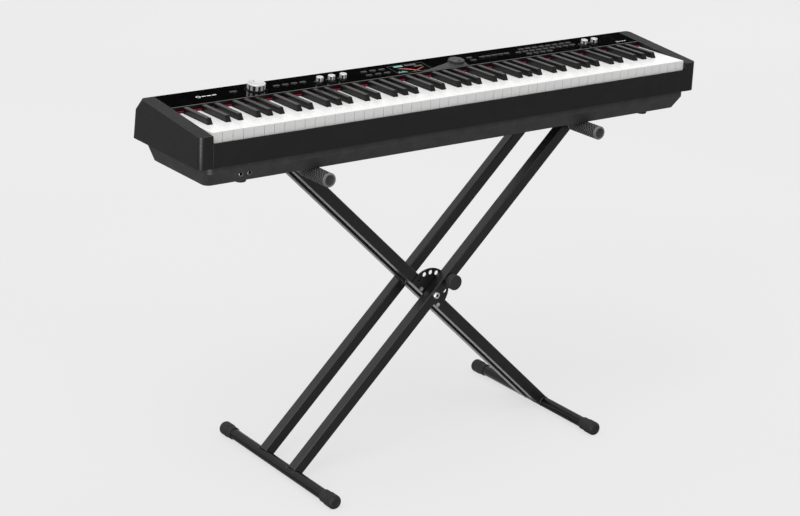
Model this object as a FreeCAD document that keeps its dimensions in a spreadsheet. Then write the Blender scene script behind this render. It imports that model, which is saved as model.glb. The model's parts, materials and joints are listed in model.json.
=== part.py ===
import FreeCAD, Part
import math
import os
import Sketcher

# Digital piano on a double-braced X stand.
# Frame of the part: X along the keyboard (bass at -X), -Y towards the player, +Z up.
# The origin lies on the floor, in the middle under the stand's pivot. Millimetres and degrees.

doc = FreeCAD.newDocument("digital_piano_on_stand")
dims = doc.addObject("Spreadsheet::Sheet", "dims")

DIMENSIONS = [
    # stand
    ("leg_angle", 44.0), ("leg_lower", 494.2), ("leg_upper", 491.5), ("leg_width", 25.0),
    ("leg_wall", 1.8), ("leg_corner", 2.5), ("leg_end_gap", 7.0), ("outer_pitch", 114.0),
    ("inner_pitch", 56.0), ("foot_axis_height", 14.5), ("bar_radius", 12.0), ("bar_wall", 1.5),
    ("foot_bar_length", 424.0), ("foot_length", 448.0), ("foot_cap_radius", 15.5),
    ("foot_cap_length", 45.0), ("foot_cap_round", 9.0), ("foot_cap_lip", 2.5), ("arm_length", 326.0),
    ("arm_overall", 335.0), ("grip_radius", 15.0), ("grip_length", 91.0), ("grip_round", 1.5),
    ("bolt_radius", 5.0), ("bolt_head_radius", 5.6), ("bolt_head_height", 3.5),
    ("washer_radius", 7.6), ("washer_thickness", 1.5), ("spacer_radius", 12.0),
    ("spacer_thickness", 3.4), ("nut_radius", 9.0), ("nut_height", 6.0), ("clearance", 0.3),
    ("disc_radius", 53.5), ("disc_thickness", 3.0), ("disc_hole_circle", 44.0),
    ("disc_hole_radius", 5.3), ("disc_hole_pitch", 21.5), ("rivet_radius", 3.0),
    ("rivet_head_radius", 4.6), ("rivet_head_height", 0.6), ("rivet_offset", 7.5),
    ("pin_radius", 3.0), ("pin_back_off", 0.2), ("housing_radius", 6.0), ("housing_nut_radius", 9.0),
    ("housing_front", 6.5), ("knob_gap", 6.0), ("plunger_knob_radius", 17.0),
    ("plunger_knob_height", 14.0), ("plunger_knob_flutes", 18.0), ("flute_radius", 1.6),
    # piano case
    ("total_width", 1285.0), ("block_width", 31.0), ("case_front", 151.0), ("case_rear", 114.0),
    ("case_bottom", 757.0), ("case_front_top", 821.5), ("ridge_rear", 80.0), ("ridge_height", 844.7045),
    ("shoulder_rear", 104.6), ("shoulder_height", 819.6), ("case_wall", 4.0), ("block_wall", 5.0),
    ("block_round", 10.0), ("block_hollow_top", 800.0), ("rail_top", 806.5), ("rail_flange", 26.0),
    ("tray_bottom", 714.5), ("tray_middle", 743.0), ("tray_top_half", 620.0), ("tray_low_half", 613.0),
    ("tray_top_front", 144.0), ("tray_low_front", 124.0), ("tray_top_rear", 100.0),
    ("tray_low_rear", 86.0), ("tray_wall", 3.0), ("tray_round", 14.0), ("post_radius", 6.0),
    ("foot_pad_radius", 11.0), ("foot_pad_height", 6.0), ("foot_pad_x", 526.0),
    ("foot_pad_front", 110.0), ("foot_pad_rear", 66.0), ("screw_radius", 3.5), ("screw_head", 1.5),
    # keys
    ("key_pitch", 23.5), ("key_gap", 1.0), ("key_front", 143.5), ("key_top", 826.7),
    ("key_skirt", 803.0), ("key_underside", 807.0), ("key_skirt_depth", 4.5), ("tail_top", 819.0),
    ("tail_rear", 92.0), ("key_back", 12.0), ("black_width", 11.0), ("black_slot", 13.0),
    ("black_front", 93.0), ("black_back", 1.2), ("black_top", 838.5), ("black_nose", 828.0),
    ("black_slope", 6.5), ("key_round", 0.8), ("black_round", 1.5), ("key_wall", 2.5),
    ("key_crown", 3.0), ("fulcrum_y", 85.0), ("fulcrum_z", 811.0), ("fulcrum_radius", 2.0),
    ("slot_front", 94.0),
    # inside the case
    ("chassis_bottom", 785.5), ("chassis_sheet", 2.5), ("chassis_front", 138.0),
    ("chassis_riser", 69.5), ("chassis_ledge", 805.0), ("chassis_rear", 95.0), ("ear_top", 816.0),
    ("spring_y", 55.0), ("spring_radius", 2.5), ("spring_bore", 1.5), ("spring_length", 16.0),
    ("board_thickness", 1.6), ("contact_front", 62.0), ("contact_depth", 44.0),
    ("dome_radius", 4.5), ("dome_height", 10.0), ("felt_front", 2.0), ("felt_rear", 15.0),
    ("felt_bottom", 827.2), ("felt_thickness", 1.8), ("speaker_x", 470.0), ("speaker_y", 20.0),
    ("speaker_radius", 46.0), ("magnet_radius", 27.0), ("speaker_height", 38.0),
    # control panel, measured along its slope
    ("panel_front", 164.0), ("panel_rear", 231.7), ("panel_thickness", 3.2), ("panel_lip", 8.6),
    ("trim_width", 2.5), ("shaft_radius", 3.0), ("control_gap", 0.4), ("volume_radius", 19.0),
    ("volume_height", 14.6), ("volume_flute", 2.8), ("small_radius", 7.5), ("small_height", 14.2),
    ("small_flute", 1.4), ("wheel_radius", 17.5), ("wheel_height", 4.2), ("button_length", 14.0),
    ("button_depth", 6.0), ("button_proud", 1.6), ("button_below", 4.0), ("power_length", 16.0),
    ("display_width", 92.0), ("display_depth", 46.0), ("display_recess", 1.2),
    ("socket_radius", 5.5), ("socket_bore", 3.2), ("socket_length", 24.0),
]
for row, (alias, number) in enumerate(DIMENSIONS, start=1):
    dims.set("A%d" % row, alias)
    dims.set("B%d" % row, str(number))
    dims.setAlias("B%d" % row, alias)
doc.recompute()

# Lengths that follow from the driving ones.
PIVOT_HEIGHT = "(dims.foot_axis_height + dims.leg_lower * sin(dims.leg_angle))"
FOOT_X = "(dims.leg_lower * cos(dims.leg_angle))"
KEYBOARD_HALF = "(26 * dims.key_pitch)"
BETWEEN_BLOCKS = "(dims.total_width / 2 - dims.block_width)"
OUTER_FACE = "(dims.outer_pitch / 2 + dims.leg_width / 2)"
OUTER_INSIDE = "(dims.outer_pitch / 2 - dims.leg_width / 2)"
INNER_FACE = "(dims.inner_pitch / 2 + dims.leg_width / 2)"
SLOPE_RISE = "(dims.ridge_height - dims.case_front_top)"
SLOPE_RUN = "(dims.case_front + dims.ridge_rear)"
SLOPE_ANGLE = "atan(%s / %s)" % (SLOPE_RISE, SLOPE_RUN)
TRAY_FLOOR = "(dims.tray_bottom + dims.tray_wall)"
CHASSIS_TOP = "(dims.chassis_bottom + dims.chassis_sheet)"

PLANES = {"top": "XY_Plane", "side": "YZ_Plane", "front": "XZ_Plane"}
subparts = []


def value(expression):
    """The number that an expression over the sheet gives now."""
    number = dims.evalExpression(str(expression))
    return float(getattr(number, "Value", number))


def new_body(label):
    """A sub-part: a PartDesign body, which may hold several separate solids."""
    body = doc.addObject("PartDesign::Body", label)
    body.Label = label
    body.AllowCompound = True
    subparts.append(body)
    return body


def origin_feature(body, role):
    return [item for item in body.Origin.OriginFeatures if item.Role == role][0]


def new_sketch(body, plane, start="0", shift=None):
    """A sketch on one of the body's own planes, moved to start along the axis it faces."""
    sketch = body.newObject("Sketcher::SketchObject", body.Label + "_outline")
    sketch.AttachmentSupport = [(origin_feature(body, PLANES[plane]), "")]
    sketch.MapMode = "FlatFace"
    sign = "-" if plane == "front" else ""
    sketch.setExpression("AttachmentOffset.Base.z", "%s(%s)" % (sign, start))
    if shift:
        sketch.setExpression("AttachmentOffset.Base.x", shift)
    sketch.Visibility = False
    return sketch


def bind(sketch, kind, geometry, point, expression):
    """Tie one coordinate of a sketch point to an expression."""
    index = sketch.addConstraint(
        Sketcher.Constraint(kind, -1, 1, geometry, point, value(expression)))
    sketch.setExpression("Constraints[%d]" % index, expression)


def polygon(sketch, corners):
    """A closed outline through corners, each a pair of expressions."""
    first = sketch.GeometryCount
    count = len(corners)
    points = [FreeCAD.Vector(value(a), value(b), 0) for a, b in corners]
    sketch.addGeometry([Part.LineSegment(points[i], points[(i + 1) % count]) for i in range(count)])
    sketch.addConstraint([
        Sketcher.Constraint("Coincident", first + i, 2, first + (i + 1) % count, 1)
        for i in range(count)])
    for i, (a, b) in enumerate(corners):
        bind(sketch, "DistanceX", first + i, 1, a)
        bind(sketch, "DistanceY", first + i, 1, b)


def rectangle(sketch, left, low, right, high):
    polygon(sketch, [(left, low), (right, low), (right, high), (left, high)])


def block_around(sketch, x, y, length, depth):
    """A rectangle given by its middle and its two sizes."""
    rectangle(sketch, "%s - (%s) / 2" % (x, length), "%s - (%s) / 2" % (y, depth),
              "%s + (%s) / 2" % (x, length), "%s + (%s) / 2" % (y, depth))


def circle(sketch, x, y, radius):
    index = sketch.addGeometry(
        Part.Circle(FreeCAD.Vector(value(x), value(y), 0), FreeCAD.Vector(0, 0, 1), value(radius)))
    bind(sketch, "DistanceX", index, 3, x)
    bind(sketch, "DistanceY", index, 3, y)
    size = sketch.addConstraint(Sketcher.Constraint("Radius", index, value(radius)))
    sketch.setExpression("Constraints[%d]" % size, radius)


def pad(body, sketch, length):
    """Grow the outline towards the positive end of its axis."""
    feature = body.newObject("PartDesign::Pad", body.Label + "_pad")
    feature.Profile = sketch
    feature.setExpression("Length", length)
    feature.Reversed = sketch.AttachmentSupport[0][0].Role == "XZ_Plane"
    body.Tip = feature
    return feature


def pocket(body, sketch, length):
    """Cut the outline out, towards the positive end of its axis."""
    feature = body.newObject("PartDesign::Pocket", body.Label + "_pocket")
    feature.Profile = sketch
    feature.setExpression("Length", length)
    feature.Reversed = sketch.AttachmentSupport[0][0].Role != "XZ_Plane"
    body.Tip = feature
    return feature


def revolve(body, sketch, axis):
    feature = body.newObject("PartDesign::Revolution", body.Label + "_turned")
    feature.Profile = sketch
    feature.ReferenceAxis = (sketch, [axis])
    feature.Angle = 360
    body.Tip = feature


def row_of(body, features, axis, pitch, count):
    """Repeat features along one of the body's axes."""
    feature = body.newObject("PartDesign::LinearPattern", body.Label + "_row")
    feature.Originals = features
    feature.Direction = (origin_feature(body, axis), [""])
    feature.setExpression("Length", "(%d) * %s" % (count - 1, pitch))
    feature.Occurrences = count
    body.Tip = feature


def ring_of(body, features, axis, count):
    """Repeat features evenly round one of the body's axes."""
    feature = body.newObject("PartDesign::PolarPattern", body.Label + "_ring")
    feature.Originals = features
    feature.Axis = (origin_feature(body, axis), [""])
    feature.Angle = 360
    feature.Occurrences = count
    body.Tip = feature


def round_edges(body, radius, wanted):
    """Round every edge of the body for which wanted(edge) is true."""
    doc.recompute()
    base = body.Tip
    names = ["Edge%d" % (i + 1) for i, edge in enumerate(base.Shape.Edges) if wanted(edge)]
    if not names:
        raise RuntimeError("no edge to round on " + body.Label)
    feature = body.newObject("PartDesign::Fillet", body.Label + "_round")
    feature.Base = (base, names)
    feature.setExpression("Radius", radius)
    body.Tip = feature


def is_line(edge, axis):
    """True for a straight edge that runs along axis 0, 1 or 2."""
    box = edge.BoundBox
    spans = [box.XLength, box.YLength, box.ZLength]
    return all(span < 1e-4 for i, span in enumerate(spans) if i != axis) and spans[axis] > 1e-3


def place(body, x="0", y="0", z="0", axis=(0, 0, 1), angle="0"):
    """Put a body at x, y, z, turned about axis; both follow the sheet."""
    rotation = FreeCAD.Rotation(FreeCAD.Vector(*axis), value(angle))
    body.Placement = FreeCAD.Placement(FreeCAD.Vector(value(x), value(y), value(z)), rotation)
    for name, expression in (("x", x), ("y", y), ("z", z)):
        body.setExpression("Placement.Base." + name, expression)
    if value(angle):
        body.setExpression("Placement.Rotation.Angle", "(%s) * 1deg" % angle)


def place_on_outer(body):
    """Outer frame: its own X runs from the left foot to the right arm."""
    place(body, z=PIVOT_HEIGHT, axis=(0, -1, 0), angle="dims.leg_angle")


def place_on_inner(body):
    """Inner frame: its own X runs from the right foot to the left arm."""
    place(body, z=PIVOT_HEIGHT, axis=(0, -1, 0), angle="180 - dims.leg_angle")


def place_on_panel(body, x="0", along="0"):
    """Control panel: its own Y runs up the slope and its own Z stands square to it."""
    place(body, x=x, y="-dims.case_front + (%s) * cos(%s)" % (along, SLOPE_ANGLE),
          z="dims.case_front_top + (%s) * sin(%s)" % (along, SLOPE_ANGLE),
          axis=(1, 0, 0), angle="(%s) / 1deg" % SLOPE_ANGLE)


# ---------------------------------------------------------------- stand

def leg(label, y, set_place):
    """Square tube from foot bar to support arm, drilled for the pivot bolt."""
    body = new_body(label)
    sketch = new_sketch(body, "side", "-dims.leg_lower + dims.leg_end_gap")
    block_around(sketch, y, "0", "dims.leg_width", "dims.leg_width")
    pad(body, sketch, "dims.leg_lower + dims.leg_upper - 2 * dims.leg_end_gap")
    round_edges(body, "dims.leg_corner", lambda edge: is_line(edge, 0))
    hollow = new_sketch(body, "side", "-dims.leg_lower")
    inner = "dims.leg_width - 2 * dims.leg_wall"
    block_around(hollow, y, "0", inner, inner)
    pocket(body, hollow, "dims.leg_lower + dims.leg_upper")
    ends = new_sketch(body, "front", "-dims.outer_pitch")
    circle(ends, "-dims.leg_lower", "0", "dims.bar_radius")
    circle(ends, "dims.leg_upper", "0", "dims.bar_radius")
    circle(ends, "0", "0", "dims.bolt_radius + dims.clearance")
    pocket(body, ends, "2 * dims.outer_pitch")
    set_place(body)
    return body


outer_front_leg = leg("outer_front_leg", "-dims.outer_pitch / 2", place_on_outer)
plunger_hole = new_sketch(outer_front_leg, "front", "-dims.outer_pitch")
circle(plunger_hole, "dims.disc_hole_circle", "0", "dims.housing_radius")
pocket(outer_front_leg, plunger_hole, "dims.outer_pitch")
leg("outer_rear_leg", "dims.outer_pitch / 2", place_on_outer)
leg("inner_front_leg", "-dims.inner_pitch / 2", place_on_inner)
leg("inner_rear_leg", "dims.inner_pitch / 2", place_on_inner)


def cross_bar(label, along, length, set_place):
    """Round tube across the two legs of a frame."""
    body = new_body(label)
    sketch = new_sketch(body, "front", "-%s / 2" % length)
    circle(sketch, along, "0", "dims.bar_radius")
    circle(sketch, along, "0", "dims.bar_radius - dims.bar_wall")
    pad(body, sketch, length)
    set_place(body)


def arm_grips(label, set_place):
    """Rubber sleeves on both ends of a support arm, closed at the outer end."""
    body = new_body(label)
    for start in ("-dims.arm_overall / 2", "dims.arm_overall / 2 - dims.grip_length"):
        sketch = new_sketch(body, "front", start)
        circle(sketch, "dims.leg_upper", "0", "dims.grip_radius")
        pad(body, sketch, "dims.grip_length")
    bore = new_sketch(body, "front", "-dims.arm_length / 2")
    circle(bore, "dims.leg_upper", "0", "dims.bar_radius")
    pocket(body, bore, "dims.arm_length")
    far = value("dims.arm_overall") / 2
    round_edges(body, "dims.grip_round", lambda edge: abs(abs(edge.BoundBox.YMin) - far) < 1e-3
                and edge.BoundBox.YLength < 1e-3)
    set_place(body)


def foot_caps(label, x):
    """Rubber caps in which the foot bar turns, each with a flat sole on the floor."""
    body = new_body(label)
    for start in ("-dims.foot_length / 2", "dims.foot_length / 2 - dims.foot_cap_length"):
        sketch = new_sketch(body, "front", start)
        circle(sketch, "0", "0", "dims.foot_cap_radius")
        pad(body, sketch, "dims.foot_cap_length")
    far = value("dims.foot_length") / 2
    near = far - value("dims.foot_cap_length")
    round_edges(body, "dims.foot_cap_round", lambda edge: edge.BoundBox.YLength < 1e-3
                and abs(abs(edge.BoundBox.YMin) - far) < 1e-3)
    round_edges(body, "dims.foot_cap_lip", lambda edge: edge.BoundBox.YLength < 1e-3
                and abs(abs(edge.BoundBox.YMin) - near) < 1e-3)
    bore = new_sketch(body, "front", "-dims.foot_bar_length / 2 - dims.clearance")
    circle(bore, "0", "0", "dims.bar_radius + dims.clearance")
    pocket(body, bore, "dims.foot_bar_length + 2 * dims.clearance")
    sole = new_sketch(body, "front", "-dims.foot_length")
    rectangle(sole, "-2 * dims.foot_cap_radius", "-2 * dims.foot_cap_radius",
              "2 * dims.foot_cap_radius", "-dims.foot_axis_height")
    pocket(body, sole, "2 * dims.foot_length")
    place(body, x=x, z="dims.foot_axis_height")


for frame_name, set_place, foot_x in (("outer", place_on_outer, "-" + FOOT_X),
                                      ("inner", place_on_inner, FOOT_X)):
    cross_bar(frame_name + "_foot_bar", "-dims.leg_lower", "dims.foot_bar_length", set_place)
    cross_bar(frame_name + "_support_arm", "dims.leg_upper", "dims.arm_length", set_place)
    arm_grips(frame_name + "_arm_grips", set_place)
    foot_caps(frame_name + "_foot_caps", foot_x)


def along_y(body, x, z, radius, start, length):
    """A round stud along Y, added to the body."""
    sketch = new_sketch(body, "front", start)
    circle(sketch, x, z, radius)
    return pad(body, sketch, length)


def bore_along_y(body, x, z, radius, start, length):
    sketch = new_sketch(body, "front", start)
    circle(sketch, x, z, radius)
    return pocket(body, sketch, length)


# Pivot bolt with its washers and its nut: it turns with the outer frame.
pivot_bolt = new_body("pivot_bolt")
WASHER_START = "-%s - dims.washer_thickness" % OUTER_FACE
along_y(pivot_bolt, "0", "0", "dims.bolt_radius", WASHER_START,
        "2 * %s + 2 * dims.washer_thickness + dims.nut_height + 2" % OUTER_FACE)
along_y(pivot_bolt, "0", "0", "dims.washer_radius", WASHER_START, "dims.washer_thickness")
along_y(pivot_bolt, "0", "0", "dims.bolt_head_radius",
        WASHER_START + " - dims.bolt_head_height", "dims.bolt_head_height")
along_y(pivot_bolt, "0", "0", "dims.washer_radius", OUTER_FACE, "dims.washer_thickness")
along_y(pivot_bolt, "0", "0", "dims.spacer_radius", INNER_FACE + " + dims.clearance",
        "dims.spacer_thickness")
nut_sketch = new_sketch(pivot_bolt, "front", OUTER_FACE + " + dims.washer_thickness")
polygon(nut_sketch, [("dims.nut_radius * cos(%d)" % (60 * i), "dims.nut_radius * sin(%d)" % (60 * i))
                     for i in range(6)])
pad(pivot_bolt, nut_sketch, "dims.nut_height")
place_on_outer(pivot_bolt)

# Locking disc: riveted to the inner front leg, with a row of holes for the plunger's pin.
locking_disc = new_body("locking_disc")
DISC_START = "-%s - dims.disc_thickness" % INNER_FACE
RIVETS = ("-dims.disc_hole_circle", "dims.disc_hole_circle / 2")
along_y(locking_disc, "0", "0", "dims.disc_radius", DISC_START, "dims.disc_thickness")
straight_side = new_sketch(locking_disc, "front", DISC_START + " - 1")
rectangle(straight_side, "-2 * dims.disc_radius", "dims.leg_width / 2",
          "2 * dims.disc_radius", "2 * dims.disc_radius")
pocket(locking_disc, straight_side, "dims.disc_thickness + 2")
bore_along_y(locking_disc, "0", "0", "dims.bolt_radius + dims.clearance", DISC_START + " - 1",
             "dims.disc_thickness + 2")
pin_holes = new_sketch(locking_disc, "front", DISC_START + " - 1")
for step in (-2.4, -1.2, 0, 1, 2, 3, 4):
    turn = "(2 * dims.leg_angle - 180 + %s * dims.disc_hole_pitch)" % step
    circle(pin_holes, "dims.disc_hole_circle * cos(%s)" % turn,
           "dims.disc_hole_circle * sin(%s)" % turn, "dims.disc_hole_radius")
pocket(locking_disc, pin_holes, "dims.disc_thickness + 2")
rivet_holes = new_sketch(locking_disc, "front", DISC_START + " - 1")
for rivet_x in RIVETS:
    circle(rivet_holes, rivet_x, "dims.rivet_offset", "dims.rivet_radius")
pocket(locking_disc, rivet_holes, "dims.disc_thickness + 2")
place_on_inner(locking_disc)

disc_rivets = new_body("disc_rivets")
for rivet_x in RIVETS:
    along_y(disc_rivets, rivet_x, "dims.rivet_offset", "dims.rivet_radius", DISC_START,
            "dims.disc_thickness")
    along_y(disc_rivets, rivet_x, "dims.rivet_offset", "dims.rivet_head_radius",
            DISC_START + " - dims.rivet_head_height", "dims.rivet_head_height")
place_on_inner(disc_rivets)

# Plunger: a sprung pin in a threaded housing that goes through the outer front leg.
PLUNGER_X = "dims.disc_hole_circle"
plunger_housing = new_body("plunger_housing")
along_y(plunger_housing, PLUNGER_X, "0", "dims.housing_radius",
        "-%s - dims.housing_front" % OUTER_FACE, "dims.leg_width + dims.housing_front")
along_y(plunger_housing, PLUNGER_X, "0", "dims.housing_nut_radius",
        "-%s - dims.housing_front / 2" % OUTER_FACE, "dims.housing_front / 2")
bore_along_y(plunger_housing, PLUNGER_X, "0", "dims.pin_radius + dims.clearance",
             "-2 * %s" % OUTER_FACE, "2 * %s" % OUTER_FACE)
bore_along_y(plunger_housing, PLUNGER_X, "0", "dims.housing_radius - 1",
             "-%s + 3" % OUTER_FACE, "dims.leg_width - 6")
place_on_outer(plunger_housing)

plunger_knob = new_body("plunger_knob")
KNOB_BACK = "-%s - dims.housing_front - dims.knob_gap" % OUTER_FACE
KNOB_FRONT = KNOB_BACK + " - dims.plunger_knob_height"
along_y(plunger_knob, "0", "0", "dims.plunger_knob_radius", KNOB_FRONT,
        "dims.plunger_knob_height")
round_edges(plunger_knob, "dims.grip_round", lambda edge: edge.BoundBox.YLength < 1e-3)
flute = bore_along_y(plunger_knob, "dims.plunger_knob_radius + dims.flute_radius / 2", "0",
                     "dims.flute_radius", KNOB_FRONT, "dims.plunger_knob_height")
ring_of(plunger_knob, [flute], "Y_Axis", int(value("dims.plunger_knob_flutes")))
along_y(plunger_knob, "0", "0", "dims.pin_radius", KNOB_BACK,
        "-%s - dims.pin_back_off - (%s)" % (OUTER_INSIDE, KNOB_BACK))
place(plunger_knob, x="%s * cos(dims.leg_angle)" % PLUNGER_X,
      z="%s + %s * sin(dims.leg_angle)" % (PIVOT_HEIGHT, PLUNGER_X),
      axis=(0, -1, 0), angle="dims.leg_angle")

plunger_spring = new_body("plunger_spring")
along_y(plunger_spring, PLUNGER_X, "0", "dims.housing_radius - 1 - dims.clearance",
        "-%s + 3" % OUTER_FACE, "dims.leg_width - 6")
bore_along_y(plunger_spring, PLUNGER_X, "0", "dims.pin_radius + dims.clearance",
             "-2 * %s" % OUTER_FACE, "2 * %s" % OUTER_FACE)
place_on_outer(plunger_spring)

# ---------------------------------------------------------------- piano case

FRONT = "-dims.case_front"


def end_block(label, side):
    """Moulded cheek at one end of the case, hollow low down, where the keybed enters it."""
    body = new_body(label)
    outside = "dims.total_width / 2"
    start = BETWEEN_BLOCKS if side > 0 else "-" + outside
    sketch = new_sketch(body, "side", start)
    polygon(sketch, [(FRONT, "dims.case_bottom"), (FRONT, "dims.case_front_top"),
                     ("dims.ridge_rear", "dims.ridge_height"),
                     ("dims.shoulder_rear", "dims.shoulder_height"),
                     ("dims.case_rear", "dims.case_bottom")])
    pad(body, sketch, "dims.block_width")
    edge_x, front_y, ridge_y = side * value(outside), value(FRONT), value("dims.ridge_rear")
    round_edges(body, "dims.block_round", lambda edge: edge.BoundBox.XLength < 1e-3
                and abs(edge.BoundBox.XMin - edge_x) < 1e-3
                and (abs(edge.BoundBox.YMax - front_y) < 1e-3 or edge.BoundBox.YMin > ridge_y - 1e-3))
    hollow_start = BETWEEN_BLOCKS if side > 0 else "-%s + dims.block_wall" % outside
    hollow = new_sketch(body, "side", hollow_start)
    low = "dims.case_bottom + dims.block_wall"
    polygon(hollow, [(FRONT + " + dims.block_wall", low),
                     (FRONT + " + dims.block_wall", "dims.block_hollow_top"),
                     ("dims.chassis_riser - 4", "dims.block_hollow_top"),
                     ("dims.chassis_riser - 4", "dims.ear_top + 1"),
                     ("dims.chassis_rear + 2", "dims.ear_top + 1"),
                     ("dims.case_rear - dims.block_wall - 8", "dims.block_hollow_top"),
                     ("dims.case_rear - dims.block_wall - 2", low)])
    pocket(body, hollow, "dims.block_width - dims.block_wall")


end_block("left_end_block", -1)
end_block("right_end_block", 1)


def long_section(label, corners, half_length=BETWEEN_BLOCKS):
    """A piece of one section, running along the keyboard between the end blocks."""
    body = new_body(label)
    sketch = new_sketch(body, "side", "-" + half_length)
    polygon(sketch, corners)
    pad(body, sketch, "2 * " + half_length)
    return body


RAIL_INSIDE = FRONT + " + dims.case_wall"
RAIL_BACK = FRONT + " + dims.rail_flange"
FLANGE_TOP = "dims.case_bottom + dims.case_wall"
long_section("front_rail", [
    (FRONT, "dims.case_bottom"), (FRONT, "dims.rail_top"), (RAIL_INSIDE, "dims.rail_top"),
    (RAIL_INSIDE, FLANGE_TOP), (RAIL_BACK, FLANGE_TOP), (RAIL_BACK, "dims.case_bottom")])

rear_panel = long_section("rear_panel", [
    ("dims.ridge_rear", "dims.ridge_height"), ("dims.shoulder_rear", "dims.shoulder_height"),
    ("dims.case_rear", "dims.case_bottom"), ("dims.case_rear - dims.case_wall", "dims.case_bottom"),
    ("dims.shoulder_rear - dims.case_wall + 0.4", "dims.shoulder_height - dims.case_wall / 2"),
    ("dims.ridge_rear", "dims.ridge_height - dims.case_wall - 0.9")])
REAR_ROUND_SOCKETS = ("-300", "-262", "-150", "-122")
REAR_SOCKET_HEIGHT = "(dims.case_bottom + 22)"
socket_holes = new_sketch(rear_panel, "front", "dims.shoulder_rear - 8")
for x in REAR_ROUND_SOCKETS:
    circle(socket_holes, x, REAR_SOCKET_HEIGHT, "dims.socket_radius")
block_around(socket_holes, "-210", REAR_SOCKET_HEIGHT, "13", "12")
pocket(rear_panel, socket_holes, "20")


def rounded_rectangle(sketch, left, low, right, high, radius):
    """A rectangle whose corners are arcs."""
    near, far = value(radius), FreeCAD.Vector(0, 0, 1)
    x0, y0, x1, y1 = value(left), value(low), value(right), value(high)
    sides = [((x0 + near, y0), (x1 - near, y0)), ((x1, y0 + near), (x1, y1 - near)),
             ((x1 - near, y1), (x0 + near, y1)), ((x0, y1 - near), (x0, y0 + near))]
    centres = [(x1 - near, y0 + near), (x1 - near, y1 - near), (x0 + near, y1 - near),
               (x0 + near, y0 + near)]
    first = sketch.GeometryCount
    sketch.addGeometry([Part.LineSegment(FreeCAD.Vector(*a, 0), FreeCAD.Vector(*b, 0))
                        for a, b in sides])
    for i, centre in enumerate(centres):
        round_corner = Part.Circle(FreeCAD.Vector(*centre, 0), far, near)
        start = math.radians(90 * i - 90)
        sketch.addGeometry(Part.ArcOfCircle(round_corner, start, start + math.pi / 2))
    for i in range(4):
        arc = first + 4 + i
        sketch.addConstraint([
            Sketcher.Constraint("Tangent", first + i, 2, arc, 1),
            Sketcher.Constraint("Tangent", arc, 2, first + (i + 1) % 4, 1)])
        size = sketch.addConstraint(Sketcher.Constraint("Radius", arc, near))
        sketch.setExpression("Constraints[%d]" % size, radius)
    sketch.addConstraint([Sketcher.Constraint("Horizontal", first),
                          Sketcher.Constraint("Vertical", first + 1)])
    bind(sketch, "DistanceY", first, 1, low)
    bind(sketch, "DistanceX", first + 1, 1, right)
    bind(sketch, "DistanceY", first + 2, 1, high)
    bind(sketch, "DistanceX", first + 3, 1, left)


def tray_section(body, height, half, front, rear, inset="0"):
    sketch = new_sketch(body, "top", height)
    rounded_rectangle(sketch, "-%s + %s" % (half, inset), "-%s + %s" % (front, inset),
                      "%s - %s" % (half, inset), "%s - %s" % (rear, inset),
                      "dims.tray_round - %s" % inset)
    return sketch


def tray_loft(body, kind, sketches):
    feature = body.newObject("PartDesign::" + kind, body.Label + "_loft")
    feature.Profile = sketches[0]
    feature.Sections = sketches[1:]
    feature.Ruled = True
    body.Tip = feature


TRAY_LEVELS = (("dims.tray_bottom", "dims.tray_low_half", "dims.tray_low_front",
                "dims.tray_low_rear"),
               ("dims.tray_middle", "dims.tray_top_half", "dims.tray_top_front",
                "dims.tray_top_rear"),
               ("dims.case_bottom", "dims.tray_top_half", "dims.tray_top_front",
                "dims.tray_top_rear"))
POST_PLACES = [(x, y) for x in (-560, -280, 0, 280, 560) for y in (-105, 50)]

# Bottom case: a tray with sloping sides and with posts that carry the key chassis.
bottom_case = new_body("bottom_case")
tray_loft(bottom_case, "AdditiveLoft", [tray_section(bottom_case, *level) for level in TRAY_LEVELS])
hollow_sections = []
for height, half, front, rear in TRAY_LEVELS:
    if height == "dims.tray_bottom":
        height = TRAY_FLOOR
    hollow_sections.append(tray_section(bottom_case, height, half, front, rear, "dims.tray_wall"))
tray_loft(bottom_case, "SubtractiveLoft", hollow_sections)
posts = new_sketch(bottom_case, "top", TRAY_FLOOR)
for x, y in POST_PLACES:
    circle(posts, str(x), str(y), "dims.post_radius")
pad(bottom_case, posts, "dims.chassis_bottom - " + TRAY_FLOOR)
grille = new_sketch(bottom_case, "top", "dims.tray_bottom - 1")
for side in ("-", ""):
    for slot in range(-3, 4):
        block_around(grille, "%sdims.speaker_x" % side, "-dims.speaker_y + %d" % (10 * slot),
                     "60", "4")
pocket(bottom_case, grille, "dims.tray_wall + 2")
PHONE_SOCKETS = ("-541", "-521")
PHONE_HEIGHT = "(dims.tray_bottom + 18)"
phone_holes = new_sketch(bottom_case, "front", "-dims.case_front")
for x in PHONE_SOCKETS:
    circle(phone_holes, x, PHONE_HEIGHT, "dims.socket_radius")
pocket(bottom_case, phone_holes, "40")

rubber_feet = new_body("rubber_feet")
feet_sketch = new_sketch(rubber_feet, "top", "dims.tray_bottom - dims.foot_pad_height")
for side in ("-", ""):
    for y in ("-dims.foot_pad_front", "dims.foot_pad_rear"):
        circle(feet_sketch, side + "dims.foot_pad_x", y, "dims.foot_pad_radius")
pad(rubber_feet, feet_sketch, "dims.foot_pad_height")
sole_height = value("dims.tray_bottom - dims.foot_pad_height")
round_edges(rubber_feet, "dims.grip_round", lambda edge: edge.BoundBox.ZMax < sole_height + 1e-3)

case_screws = new_body("case_screws")
heads = new_sketch(case_screws, "top", "dims.tray_bottom - dims.screw_head")
for x, y in POST_PLACES:
    circle(heads, str(x), str(y), "dims.screw_radius")
pad(case_screws, heads, "dims.screw_head")

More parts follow.
